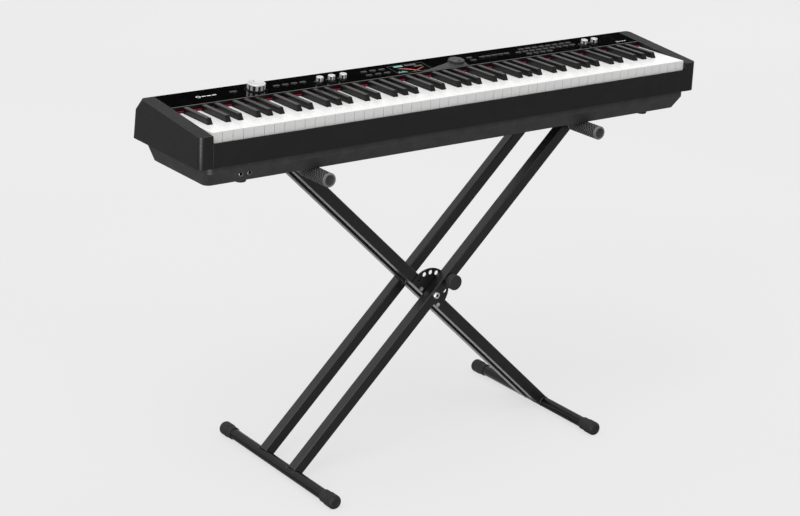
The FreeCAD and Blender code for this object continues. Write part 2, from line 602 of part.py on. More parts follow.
# Sockets: two for headphones in the front of the tray, the others in the rear panel.
sockets = new_body("sockets")
PHONE_START = "-dims.tray_top_front + 8"
REAR_START = "dims.case_rear - dims.socket_length - 2"
for x in PHONE_SOCKETS:
    along_y(sockets, x, PHONE_HEIGHT, "dims.socket_radius", PHONE_START, "dims.socket_length")
for x in REAR_ROUND_SOCKETS:
    along_y(sockets, x, REAR_SOCKET_HEIGHT, "dims.socket_radius", REAR_START,
            "dims.socket_length")
data_socket = new_sketch(sockets, "front", REAR_START)
block_around(data_socket, "-210", REAR_SOCKET_HEIGHT, "13", "12")
pad(sockets, data_socket, "dims.socket_length")
for x in PHONE_SOCKETS:
    bore_along_y(sockets, x, PHONE_HEIGHT, "dims.socket_bore", PHONE_START,
                 "dims.socket_length - 4")
for x in REAR_ROUND_SOCKETS:
    bore_along_y(sockets, x, REAR_SOCKET_HEIGHT, "dims.socket_bore", REAR_START + " + 4",
                 "dims.socket_length")
data_bore = new_sketch(sockets, "front", REAR_START + " + 12")
block_around(data_bore, "-210", REAR_SOCKET_HEIGHT, "9", "8")
pocket(sockets, data_bore, "dims.socket_length")

# ---------------------------------------------------------------- inside the case

LEDGE_LOW = "dims.chassis_ledge - dims.chassis_sheet"
RISER_BACK = "dims.chassis_riser + dims.chassis_sheet"
CHASSIS_HALF = "(%s + dims.chassis_sheet)" % BETWEEN_BLOCKS
key_chassis = long_section("key_chassis", [
    ("-dims.chassis_front", "dims.chassis_bottom"), ("-dims.chassis_front", CHASSIS_TOP),
    ("dims.chassis_riser", CHASSIS_TOP), ("dims.chassis_riser", "dims.chassis_ledge"),
    ("dims.chassis_rear", "dims.chassis_ledge"), ("dims.chassis_rear", LEDGE_LOW),
    (RISER_BACK, LEDGE_LOW), (RISER_BACK, "dims.chassis_bottom")], CHASSIS_HALF)
for start in ("-" + CHASSIS_HALF, BETWEEN_BLOCKS):
    ear = new_sketch(key_chassis, "side", start)
    rectangle(ear, "dims.chassis_riser", LEDGE_LOW, "dims.chassis_rear", "dims.ear_top")
    pad(key_chassis, ear, "dims.chassis_sheet")
rod_hole = new_sketch(key_chassis, "side", "-2 * dims.total_width")
circle(rod_hole, "dims.fulcrum_y", "dims.fulcrum_z", "dims.fulcrum_radius")
pocket(key_chassis, rod_hole, "4 * dims.total_width")

fulcrum_rod = new_body("fulcrum_rod")
rod = new_sketch(fulcrum_rod, "side", "-" + CHASSIS_HALF)
circle(rod, "dims.fulcrum_y", "dims.fulcrum_z", "dims.fulcrum_radius")
pad(fulcrum_rod, rod, "2 * " + CHASSIS_HALF)

TAIL_PITCH = "(2 * %s / 88)" % KEYBOARD_HALF
FIRST_TAIL = "(-%s + %s / 2)" % (KEYBOARD_HALF, TAIL_PITCH)
key_springs = new_body("key_springs")
spring = new_sketch(key_springs, "top", CHASSIS_TOP)
circle(spring, FIRST_TAIL, "dims.spring_y", "dims.spring_radius")
circle(spring, FIRST_TAIL, "dims.spring_y", "dims.spring_bore")
row_of(key_springs, [pad(key_springs, spring, "dims.spring_length")], "X_Axis", TAIL_PITCH, 88)

key_contacts = new_body("key_contacts")
strip = new_sketch(key_contacts, "top", CHASSIS_TOP)
rectangle(strip, "-%s" % KEYBOARD_HALF, "-dims.contact_front", KEYBOARD_HALF,
          "-dims.contact_front + dims.contact_depth")
pad(key_contacts, strip, "dims.board_thickness")
dome = new_sketch(key_contacts, "top", CHASSIS_TOP)
circle(dome, FIRST_TAIL, "-dims.contact_front + dims.contact_depth / 2", "dims.dome_radius")
row_of(key_contacts, [pad(key_contacts, dome, "dims.dome_height + dims.board_thickness")],
       "X_Axis", TAIL_PITCH, 88)

red_felt = long_section("red_felt", [
    ("dims.felt_front", "dims.felt_bottom"), ("dims.felt_rear", "dims.felt_bottom"),
    ("dims.felt_rear", "dims.felt_bottom + dims.felt_thickness"),
    ("dims.felt_front", "dims.felt_bottom + dims.felt_thickness")], KEYBOARD_HALF)

main_board = new_body("main_board")
standoffs = new_sketch(main_board, "top", TRAY_FLOOR)
for x in ("-140", "140"):
    for y in ("-65", "20"):
        circle(standoffs, x, y, "4")
pad(main_board, standoffs, "17")
board = new_sketch(main_board, "top", TRAY_FLOOR + " + 17")
rectangle(board, "-150", "-75", "150", "30")
pad(main_board, board, "dims.board_thickness")
chips = new_sketch(main_board, "top", TRAY_FLOOR + " + 17 + dims.board_thickness")
for x, y, length, depth in ((-90, -20, 28, 28), (-20, -30, 18, 12), (50, 0, 40, 14), (110, -50, 20, 20)):
    block_around(chips, str(x), str(y), str(length), str(depth))
pad(main_board, chips, "4")


def speaker(body, x):
    """Round loudspeaker that fires down through the grille in the tray."""
    sketch = new_sketch(body, "front", "-dims.speaker_y", x)
    polygon(sketch, [("0", TRAY_FLOOR + " + 8"), ("0", TRAY_FLOOR + " + dims.speaker_height"),
                     ("dims.magnet_radius", TRAY_FLOOR + " + dims.speaker_height"),
                     ("dims.magnet_radius", TRAY_FLOOR + " + 20"),
                     ("dims.speaker_radius", TRAY_FLOOR + " + 3"),
                     ("dims.speaker_radius", TRAY_FLOOR),
                     ("dims.speaker_radius - 6", TRAY_FLOOR), ("12", TRAY_FLOOR + " + 14"),
                     ("7", TRAY_FLOOR + " + 10")])
    revolve(body, sketch, "V_Axis")


speakers = new_body("speakers")
speaker(speakers, "-dims.speaker_x")
speaker(speakers, "dims.speaker_x")

# ---------------------------------------------------------------- keys

WHITE_NOTES = {  # place of the first key of each note, and how many there are
    "a": (0, 8), "b": (1, 8), "c": (2, 8), "d": (3, 7), "e": (4, 7), "f": (5, 7), "g": (6, 7)}
BLACK_NOTES = {  # the gap between white keys it stands over, how far off its middle, how many
    "a_sharp": (1, 3.3, 8), "c_sharp": (3, -2.2, 7), "d_sharp": (4, 2.2, 7),
    "f_sharp": (6, -3.3, 7), "g_sharp": (7, 0.0, 7)}
OCTAVE = "7 * dims.key_pitch"


def key_edge(place_number):
    """Where the gap to the left of white key place_number is."""
    return "(-%s + %d * dims.key_pitch)" % (KEYBOARD_HALF, place_number)


def slot_offset(gap):
    """How far off a gap its black key stands, or None where there is no black key."""
    for first, offset, count in BLACK_NOTES.values():
        if (gap - first) % 7 == 0:
            return offset
    return None


def slot_side(gap, sign):
    """One side of the slot for the black key over a gap, or None where the gap has no black key."""
    offset = slot_offset(gap)
    if offset is None or gap in (0, 52):
        return None
    return "%s + %s %s dims.black_slot / 2" % (key_edge(gap), offset, sign)


def add_white_key(body, place_number):
    """One white key: a moulded shell, open below, with a solid tail round the fulcrum rod."""
    start = key_edge(place_number)
    left, right = start + " + dims.key_gap / 2", start + " + dims.key_pitch - dims.key_gap / 2"
    slot_left, slot_right = slot_side(place_number, "+"), slot_side(place_number + 1, "-")
    profile = new_sketch(body, "side", left)
    polygon(profile, [
        ("-dims.key_front", "dims.key_skirt"), ("-dims.key_front", "dims.key_top"),
        ("dims.key_back", "dims.key_top"), ("dims.key_back", "dims.tail_top"),
        ("dims.tail_rear", "dims.tail_top"), ("dims.tail_rear", "dims.key_underside"),
        ("-dims.key_front + dims.key_skirt_depth", "dims.key_underside"),
        ("-dims.key_front + dims.key_skirt_depth", "dims.key_skirt")])
    parts = [pad(body, profile, "dims.key_pitch - dims.key_gap")]
    for notch_left, notch_right in ((start + " - 1", slot_left),
                                    (slot_right, start + " + dims.key_pitch + 1")):
        if notch_left and notch_right:
            notch = new_sketch(body, "top", "dims.key_skirt - 1")
            rectangle(notch, notch_left, "-dims.slot_front", notch_right, "dims.tail_rear + 1")
            parts.append(pocket(body, notch, "dims.key_top - dims.key_skirt + 2"))
    reach = "dims.key_top - dims.key_crown - dims.key_skirt"
    for inner_left, near, inner_right, far in (
            (left, "-dims.key_front + dims.key_skirt_depth", right, "-dims.slot_front - dims.key_wall"),
            (slot_left or left, "-dims.slot_front - 2 * dims.key_wall", slot_right or right,
             "dims.key_back - 3")):
        hollow = new_sketch(body, "top", "dims.key_skirt")
        rectangle(hollow, inner_left + " + dims.key_wall", near, inner_right + " - dims.key_wall", far)
        parts.append(pocket(body, hollow, reach))
    fulcrum = new_sketch(body, "side", start + " - 1")
    circle(fulcrum, "dims.fulcrum_y", "dims.fulcrum_z", "dims.fulcrum_radius + dims.clearance")
    parts.append(pocket(body, fulcrum, "dims.key_pitch + 2"))
    top, low, high = value("dims.key_top"), value(left) - 1e-3, value(right) + 1e-3
    round_edges(body, "dims.key_round", lambda edge: edge.BoundBox.ZMin > top - 1e-3
                and edge.BoundBox.XMin > low and edge.BoundBox.XMax < high)
    return parts + [body.Tip]


def white_keys(note, first, count):
    """Every white key of one note. The outermost keys have no black key outside them."""
    body = new_body("keys_" + note)
    if first == 0:
        add_white_key(body, 0)
        first, count = 7, count - 1
    if first + 7 * (count - 1) == 51:
        add_white_key(body, 51)
        count -= 1
    row_of(body, add_white_key(body, first), "X_Axis", OCTAVE, count)


def black_keys(note, gap, offset, count):
    body = new_body("keys_" + note)
    left = "%s + %s - dims.black_width / 2" % (key_edge(gap), offset)
    profile = new_sketch(body, "side", left)
    polygon(profile, [
        ("-dims.black_front", "dims.key_underside"), ("-dims.black_front", "dims.black_nose"),
        ("-dims.black_front + dims.black_slope", "dims.black_top"),
        ("dims.black_back", "dims.black_top"), ("dims.black_back", "dims.tail_top"),
        ("dims.tail_rear", "dims.tail_top"), ("dims.tail_rear", "dims.key_underside")])
    parts = [pad(body, profile, "dims.black_width")]
    hollow = new_sketch(body, "top", "dims.key_skirt")
    rectangle(hollow, left + " + dims.key_wall", "-dims.black_front + 9",
              left + " + dims.black_width - dims.key_wall", "dims.black_back - 3")
    parts.append(pocket(body, hollow, "dims.black_top - dims.key_crown - dims.key_skirt"))
    fulcrum = new_sketch(body, "side", left + " - 1")
    circle(fulcrum, "dims.fulcrum_y", "dims.fulcrum_z", "dims.fulcrum_radius + dims.clearance")
    parts.append(pocket(body, fulcrum, "dims.black_width + 2"))
    nose = value("dims.black_nose")
    round_edges(body, "dims.black_round", lambda edge: edge.BoundBox.ZMin > nose - 1e-3
                and not (edge.BoundBox.XLength > 1 and edge.BoundBox.YMax > 0))
    parts.append(body.Tip)
    row_of(body, parts, "X_Axis", OCTAVE, count)


for note, (first, count) in WHITE_NOTES.items():
    white_keys(note, first, count)
for note, (gap, offset, count) in BLACK_NOTES.items():
    black_keys(note, gap, offset, count)

# ---------------------------------------------------------------- control panel

VOLUME_PLACE = (-397, 195)
WHEEL_PLACE = (112, 194)
SMALL_KNOB_PLACES = {"tone_knob_1": (-252, 181), "tone_knob_2": (-223, 181),
                     "tone_knob_3": (-194, 181), "level_knob_1": (464, 181),
                     "level_knob_2": (493, 181)}
POWER_PLACE = (-448, 199)
PRESET_PLACES = [(-346 + 21.4 * i, 198) for i in range(4)]
RHYTHM_PLACES = [(-124 + 23 * i, along) for along in (206, 185) for i in range(3)]
VOICE_PLACES = [(154, 203), (154, 187)]
VOICE_PLACES += [(186 + 17 * i, 198) for i in range(5)]
VOICE_PLACES += [(304 + 19.5 * i, 209) for i in range(8)]
VOICE_PLACES += [(285 + 19.5 * i, 194) for i in range(9)]
VOICE_PLACES += [(304 + 19.5 * i, 179) for i in range(4)]
DISPLAY_PLACE = (-12, 194)
KNOB_PLACES = [VOLUME_PLACE, WHEEL_PLACE] + list(SMALL_KNOB_PLACES.values())
BUTTON_PLACES = [POWER_PLACE] + PRESET_PLACES + RHYTHM_PLACES + VOICE_PLACES


def button_length(spot):
    return "dims.power_length" if spot == POWER_PLACE else "dims.button_length"


# Control panel: a gloss plate with a lip that hangs down in front of the key tails.
control_panel = new_body("control_panel")
plate = new_sketch(control_panel, "top", "-dims.panel_thickness")
rectangle(plate, "-" + BETWEEN_BLOCKS, "dims.panel_front", BETWEEN_BLOCKS, "dims.panel_rear")
pad(control_panel, plate, "dims.panel_thickness")
lip = new_sketch(control_panel, "top", "-dims.panel_lip")
rectangle(lip, "-" + BETWEEN_BLOCKS, "dims.panel_front", BETWEEN_BLOCKS,
          "dims.panel_front + dims.panel_thickness")
pad(control_panel, lip, "dims.panel_lip")
shaft_holes = new_sketch(control_panel, "top", "-dims.panel_thickness - 1")
for x, along in KNOB_PLACES:
    circle(shaft_holes, str(x), str(along), "dims.shaft_radius + dims.control_gap")
pocket(control_panel, shaft_holes, "dims.panel_thickness + 2")
for group in (BUTTON_PLACES[:11], BUTTON_PLACES[11:25], BUTTON_PLACES[25:]):
    button_holes = new_sketch(control_panel, "top", "-dims.panel_thickness - 1")
    for spot in group:
        block_around(button_holes, str(spot[0]), str(spot[1]),
                     button_length(spot) + " + 2 * dims.control_gap",
                     "dims.button_depth + 2 * dims.control_gap")
    pocket(control_panel, button_holes, "dims.panel_thickness + 2")
recess = new_sketch(control_panel, "top", "-dims.display_recess")
block_around(recess, str(DISPLAY_PLACE[0]), str(DISPLAY_PLACE[1]),
             "dims.display_width", "dims.display_depth")
pocket(control_panel, recess, "2 * dims.display_recess")
place_on_panel(control_panel)

display_window = new_body("display_window")
glass = new_sketch(display_window, "top", "-dims.display_recess")
block_around(glass, str(DISPLAY_PLACE[0]), str(DISPLAY_PLACE[1]),
             "dims.display_width", "dims.display_depth")
pad(display_window, glass, "dims.display_recess")
place_on_panel(display_window)

panel_trim = new_body("panel_trim")
trim = new_sketch(panel_trim, "top", "-dims.panel_lip")
rectangle(trim, "-" + BETWEEN_BLOCKS, "dims.panel_front - dims.trim_width", BETWEEN_BLOCKS,
          "dims.panel_front")
pad(panel_trim, trim, "dims.panel_lip")
place_on_panel(panel_trim)

# Board under the panel, with a potentiometer or an encoder below each knob.
panel_board = new_body("panel_board")
board_slab = new_sketch(panel_board, "top", "-14")
rectangle(board_slab, "-570", "dims.panel_front + 6", "570", "dims.panel_rear - 6")
pad(panel_board, board_slab, "dims.board_thickness")
pots = new_sketch(panel_board, "top", "-14 + dims.board_thickness")
for x, along in KNOB_PLACES:
    circle(pots, str(x), str(along), "6")
pad(panel_board, pots, "14 - dims.board_thickness - dims.panel_thickness - dims.control_gap")
place_on_panel(panel_board)


def knob(label, spot, radius, height, flutes=0, flute="0"):
    """A knob with grip flutes below its top rim, on a short shaft that goes through the panel."""
    body = new_body(label)
    cap = new_sketch(body, "top", "dims.control_gap")
    circle(cap, "0", "0", radius)
    pad(body, cap, height)
    top = value(height) + value("dims.control_gap")
    round_edges(body, "0.8", lambda edge: abs(edge.BoundBox.ZMax - top) < 1e-3
                and edge.BoundBox.ZLength < 1e-3)
    if flutes:
        flute_sketch = new_sketch(body, "top", "dims.control_gap + 3")
        circle(flute_sketch, "%s + 0.4" % radius, "0", flute)
        ring_of(body, [pocket(body, flute_sketch, height + " - 5")], "Z_Axis", flutes)
    shaft = new_sketch(body, "top", "-dims.panel_thickness")
    circle(shaft, "0", "0", "dims.shaft_radius")
    pad(body, shaft, "dims.panel_thickness + dims.control_gap + 1")
    place_on_panel(body, str(spot[0]), str(spot[1]))
    return body


knob("volume_knob", VOLUME_PLACE, "dims.volume_radius", "dims.volume_height", 10,
     "dims.volume_flute")
data_wheel = knob("data_wheel", WHEEL_PLACE, "dims.wheel_radius", "dims.wheel_height")
dimple = new_sketch(data_wheel, "top", "dims.wheel_height - 1")
circle(dimple, "0", "-dims.wheel_radius * 0.6", "4")
pocket(data_wheel, dimple, "4")
for label, spot in SMALL_KNOB_PLACES.items():
    knob(label, spot, "dims.small_radius", "dims.small_height", 8, "dims.small_flute")


def buttons(label, spots):
    """Push buttons that stand a little proud of the panel."""
    body = new_body(label)
    sketch = new_sketch(body, "top", "-dims.button_below")
    for spot in spots:
        block_around(sketch, str(spot[0]), str(spot[1]), button_length(spot), "dims.button_depth")
    pad(body, sketch, "dims.button_below + dims.button_proud")
    top = value("dims.button_proud")
    round_edges(body, "0.5", lambda edge: edge.BoundBox.ZMin > top - 1e-3)
    place_on_panel(body)


buttons("power_button", [POWER_PLACE])
buttons("preset_buttons", PRESET_PLACES)
buttons("rhythm_buttons", RHYTHM_PLACES)
buttons("voice_buttons", VOICE_PLACES)

# ---------------------------------------------------------------- check and write

doc.recompute()
for item in doc.Objects:
    if "Invalid" in item.State or "Error" in item.State:
        raise RuntimeError("%s failed: %s" % (item.Label, item.State))
for body in subparts:
    if body.Shape.isNull() or not body.Shape.isValid():
        raise RuntimeError("bad shape: " + body.Label)
os.makedirs("parts", exist_ok=True)
for body in subparts:
    body.Shape.exportStep("parts/%s.step" % body.Label)
print(len(subparts), "sub-parts,", sum(len(body.Shape.Solids) for body in subparts), "solids")
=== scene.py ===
import json
import math
import random

import bmesh
import bpy
from mathutils import Matrix, Vector


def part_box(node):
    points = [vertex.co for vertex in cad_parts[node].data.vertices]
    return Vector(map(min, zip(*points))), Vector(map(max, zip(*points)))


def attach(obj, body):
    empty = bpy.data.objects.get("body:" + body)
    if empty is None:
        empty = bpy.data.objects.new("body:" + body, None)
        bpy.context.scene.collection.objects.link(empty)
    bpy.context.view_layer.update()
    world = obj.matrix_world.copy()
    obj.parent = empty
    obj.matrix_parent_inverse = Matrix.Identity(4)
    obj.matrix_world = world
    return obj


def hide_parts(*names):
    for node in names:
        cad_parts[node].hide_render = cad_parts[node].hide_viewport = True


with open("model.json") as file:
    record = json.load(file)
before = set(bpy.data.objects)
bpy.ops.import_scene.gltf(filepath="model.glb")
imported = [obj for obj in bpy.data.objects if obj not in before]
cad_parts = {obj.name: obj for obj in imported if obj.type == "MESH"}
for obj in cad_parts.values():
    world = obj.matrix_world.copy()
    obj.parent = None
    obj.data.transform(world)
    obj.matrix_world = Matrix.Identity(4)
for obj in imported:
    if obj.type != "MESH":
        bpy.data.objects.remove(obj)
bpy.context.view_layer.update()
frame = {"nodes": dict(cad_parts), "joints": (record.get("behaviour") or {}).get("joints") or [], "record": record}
# Everything below is in metres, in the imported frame.
NODES = frame["nodes"]
JOINTS = {joint["name"]: joint for joint in frame["joints"]}
SCENE = bpy.context.scene
TAU = 2 * math.pi


# ---------------------------------------------------------------- materials

class Look:
    """A material whose colour, roughness and relief all come from procedural nodes.
    Noise and cell scales count features per metre; radii and depths are metres."""

    def __init__(self, name, **sockets):
        self.material = bpy.data.materials.new(name)
        self.material.use_nodes = True
        self.tree = self.material.node_tree
        self.shader = self.tree.nodes["Principled BSDF"]
        for socket, number in sockets.items():
            self.shader.inputs[socket.replace("_", " ")].default_value = number
        self.place = self.tree.nodes.new("ShaderNodeTexCoord").outputs["Object"]
        self.normal = None

    def node(self, kind, **inputs):
        """A node whose named inputs are set; an underscore stands for a space."""
        made = self.tree.nodes.new(kind)
        for socket, number in inputs.items():
            made.inputs[socket.replace("_", " ")].default_value = number
        return made

    def link(self, source, target):
        self.tree.links.new(source, target)

    def mapped(self, stretch):
        """The object's own coordinates, scaled per axis."""
        mapping = self.node("ShaderNodeMapping", Scale=stretch)
        self.link(self.place, mapping.inputs["Vector"])
        return mapping.outputs["Vector"]

    def noise(self, scale, detail=3.0, stretch=(1, 1, 1)):
        made = self.node("ShaderNodeTexNoise", Scale=scale, Detail=detail, Roughness=0.55)
        self.link(self.mapped(stretch), made.inputs["Vector"])
        return made.outputs["Fac"]

    def cells(self, scale, stretch=(1, 1, 1)):
        made = self.node("ShaderNodeTexVoronoi", Scale=scale)
        self.link(self.mapped(stretch), made.inputs["Vector"])
        return made.outputs["Distance"]

    def spread(self, factor, low, high):
        """Noise, which mostly stays between 0.3 and 0.7, spread over low to high."""
        made = self.node("ShaderNodeMapRange", From_Min=0.3, From_Max=0.7, To_Min=low, To_Max=high)
        self.link(factor, made.inputs["Value"])
        return made.outputs["Result"]

    def ramp(self, factor, stops):
        """A colour that follows factor through (place, colour) stops."""
        made = self.node("ShaderNodeValToRGB")
        elements = made.color_ramp.elements
        while len(elements) < len(stops):
            elements.new(0.5)
        for element, (place, colour) in zip(elements, stops):
            element.position = place
            element.color = (*colour, 1)
        self.link(factor, made.inputs["Fac"])
        return made.outputs["Color"]

    def colour(self, factor, dark, light):
        """Base colour between two shades."""
        self.link(self.ramp(factor, [(0.35, dark), (0.65, light)]), self.shader.inputs["Base Color"])

    def paint_edge_light_and_shade(self, radius, light, amount):
        """Painted light on edges: where the surface turns within radius, the colour goes towards light, in
        patches. It is a painted highlight where light is the lighter tone and painted shade where it is darker.
        """
        bevel = self.node("ShaderNodeBevel", Radius=radius)
        bevel.samples = 4
        turn = self.node("ShaderNodeVectorMath")
        turn.operation = "DOT_PRODUCT"
        self.link(bevel.outputs["Normal"], turn.inputs[0])
        self.link(self.node("ShaderNodeNewGeometry").outputs["Normal"], turn.inputs[1])
        edge = self.node("ShaderNodeMapRange", From_Min=0.99, From_Max=0.8, To_Min=0.0, To_Max=amount)
        self.link(turn.outputs["Value"], edge.inputs["Value"])
        patchy = self.node("ShaderNodeMath")
        patchy.operation = "MULTIPLY"
        self.link(edge.outputs["Result"], patchy.inputs[0])
        self.link(self.spread(self.noise(90), 0.4, 1.0), patchy.inputs[1])
        mix = self.node("ShaderNodeMixRGB", Color2=(*light, 1))
        base = self.shader.inputs["Base Color"]
        self.link(base.links[0].from_socket, mix.inputs["Color1"])
        self.link(patchy.outputs["Value"], mix.inputs["Fac"])
        self.link(mix.outputs["Color"], base)

    def rough(self, factor, low, high):
        """Roughness between two values."""
        self.link(self.spread(factor, low, high), self.shader.inputs["Roughness"])

    def relief(self, height, strength, distance):
        """A bump on top of the bumps already there."""
        bump = self.node("ShaderNodeBump", Strength=strength, Distance=distance)
        self.link(height, bump.inputs["Height"])
        if self.normal is not None:
            self.link(self.normal, bump.inputs["Normal"])
        self.normal = bump.outputs["Normal"]
        self.link(self.normal, self.shader.inputs["Normal"])


def grey(level, warm=0.0):
    """A neutral colour from its sRGB level, 0 to 255."""
    c = level / 255
    linear = c / 12.92 if c <= 0.04045 else ((c + 0.055) / 1.055) ** 2.4
    return (linear * (1 + warm), linear, linear * (1 - warm))


def moulded(name, dark, light, rough, grain, depth, **sockets):
    """Textured plastic: a fine spark-eroded grain over faint patches, and a painted highlight along its edges."""
    look = Look(name, **sockets)
    look.colour(look.noise(35), grey(dark), grey(light))
    look.rough(look.noise(160), *rough)
    look.relief(look.noise(grain, 2), 0.5, depth)
    look.relief(look.cells(grain * 0.6), 0.35, depth)
    # Painted highlight: edges lighter than the plastic.
    look.paint_edge_light_and_shade(0.0012, grey(light + 30), 0.5)
    return look.material


def painted(name, dark, light, rough, gloss):
    """Powder coat: satin, with the low waves and pinhead bumps of a baked powder, and a painted highlight along
    its edges.
    """
    look = Look(name, Specular_IOR_Level=gloss)
    look.colour(look.noise(28), grey(dark), grey(light))
    look.rough(look.noise(90), *rough)
    look.relief(look.noise(420, 2), 0.35, 0.00012)
    look.relief(look.noise(1500, 2), 0.25, 0.00005)
    # Painted highlight: edges lighter than the coat.
    look.paint_edge_light_and_shade(0.0012, grey(light + 40), 0.5)
    return look.material


def rubbery(name, dark, light, rib_highlight):
    """Matte rubber with painted highlight: its raised ribs, end rings and edges are lightened towards the given
    highlight tone.
    """
    look = Look(name, Specular_IOR_Level=0.28, Sheen_Weight=0.03, Sheen_Roughness=0.5)
    look.colour(look.noise(50), grey(dark), grey(light))
    # Painted highlight: where the rib attribute is high, the colour goes towards the highlight tone.
    ribs = look.node("ShaderNodeAttribute")
    ribs.attribute_name = "rib"
    raised = look.node("ShaderNodeMapRange", From_Min=0.45, From_Max=0.95)
    look.link(ribs.outputs["Fac"], raised.inputs["Value"])
    mix = look.node("ShaderNodeMixRGB", Color2=(*grey(rib_highlight), 1))
    base = look.shader.inputs["Base Color"]
    look.link(base.links[0].from_socket, mix.inputs["Color1"])
    look.link(raised.outputs["Result"], mix.inputs["Fac"])
    look.link(mix.outputs["Color"], base)
    look.rough(look.noise(220), 0.62, 0.82)
    look.relief(look.noise(1800, 3), 0.5, 0.00008)
    look.paint_edge_light_and_shade(0.0007, grey(rib_highlight), 0.3)
    return look.material


def metal(name, dark, light, rough, stretch=(1, 1, 1), metallic=1.0):
    """Steel or plating with a fine brushed or rolled grain, drawn out by stretch."""
    look = Look(name, Metallic=metallic)
    look.colour(look.noise(60), grey(dark), grey(light))
    look.rough(look.noise(700, 3, stretch), *rough)
    look.relief(look.noise(1600, 3, stretch), 0.3, 0.00003)
    return look.material


def glossy(name, dark, light, rough):
    """Polished plastic or glass, with hairlines too fine to see from afar."""
    look = Look(name, Specular_IOR_Level=0.3)
    look.colour(look.noise(25), grey(dark), grey(light))
    look.rough(look.noise(70), *rough)
    look.relief(look.noise(2200, 1, (0.1, 1, 1)), 0.04, 0.00002)
    return look.material


def felt_look():
    """Red wool felt: loose fibres over soft lumps."""
    look = Look("felt", Sheen_Weight=0.15, Sheen_Roughness=0.5, Specular_IOR_Level=0.05,
                Sheen_Tint=(0.9, 0.05, 0.12, 1))
    fibres = look.noise(900, 6, (1, 0.25, 0.6))
    look.colour(fibres, (0.10, 0.006, 0.017), (0.19, 0.012, 0.030))
    look.rough(look.noise(300), 0.88, 1.0)
    look.relief(fibres, 0.9, 0.0005)
    look.relief(look.noise(160, 4), 0.5, 0.0006)
    return look.material


def top_lit_plastic(name, side, top):
    """Satin plastic with painted light: its upward faces are painted lighter than its upright ones, as light from
    above makes them look.
    """
    look = Look(name, Specular_IOR_Level=0.3)
    facing = look.node("ShaderNodeSeparateXYZ")
    look.link(look.node("ShaderNodeNewGeometry").outputs["Normal"], facing.inputs[0])
    uneven = look.node("ShaderNodeMath")
    uneven.operation = "MULTIPLY"
    look.link(facing.outputs["Z"], uneven.inputs[0])
    look.link(look.spread(look.noise(240), 0.9, 1.0), uneven.inputs[1])
    look.link(look.ramp(uneven.outputs["Value"], [(0.5, grey(side)), (0.95, grey(top))]),
              look.shader.inputs["Base Color"])
    look.rough(look.noise(300), 0.4, 0.55)
    look.relief(look.noise(1600, 2), 0.4, 0.00005)
    return look.material


def circuit_look():
    """Green solder mask over copper tracks."""
    look = Look("circuit", Coat_Weight=0.4, Coat_Roughness=0.2)
    tracks = look.noise(140, 0, (1, 6, 1))
    look.link(look.ramp(tracks, [(0.44, (0.006, 0.05, 0.02)), (0.46, (0.012, 0.11, 0.045)),
                                 (0.54, (0.012, 0.11, 0.045)), (0.56, (0.006, 0.05, 0.02))]),
              look.shader.inputs["Base Color"])
    look.rough(look.noise(200), 0.35, 0.5)
    look.relief(tracks, 0.3, 0.0001)
    return look.material


def key_look(name, dark, light, edge, rough, coat, gloss, stretch):
    """Moulded key tops: long faint grain along the key and a soft surface gloss. The edges go towards the edge
    tone, as a painted highlight where that is lighter and as painted shade where it is darker.
    """
    look = Look(name, Coat_Weight=coat, Coat_Roughness=0.16, Specular_IOR_Level=gloss)
    look.colour(look.noise(260, 4, stretch), grey(dark, 0.006), grey(light, 0.006))
    look.rough(look.noise(420, 3, stretch), *rough)
    look.relief(look.noise(1100, 3, stretch), 0.25, 0.00006)
    look.paint_edge_light_and_shade(0.0006, grey(edge, 0.004), 0.5)
    return look.material


def lit_look(name, dark, light, glow):
    """Ink or glass that gives a little light of its own."""
    look = Look(name, Emission_Strength=glow)
    shade = look.ramp(look.noise(300, 2), [(0.35, dark), (0.65, light)])
    look.link(shade, look.shader.inputs["Base Color"])
    look.link(shade, look.shader.inputs["Emission Color"])
    look.rough(look.noise(500), 0.35, 0.5)
    return look.material


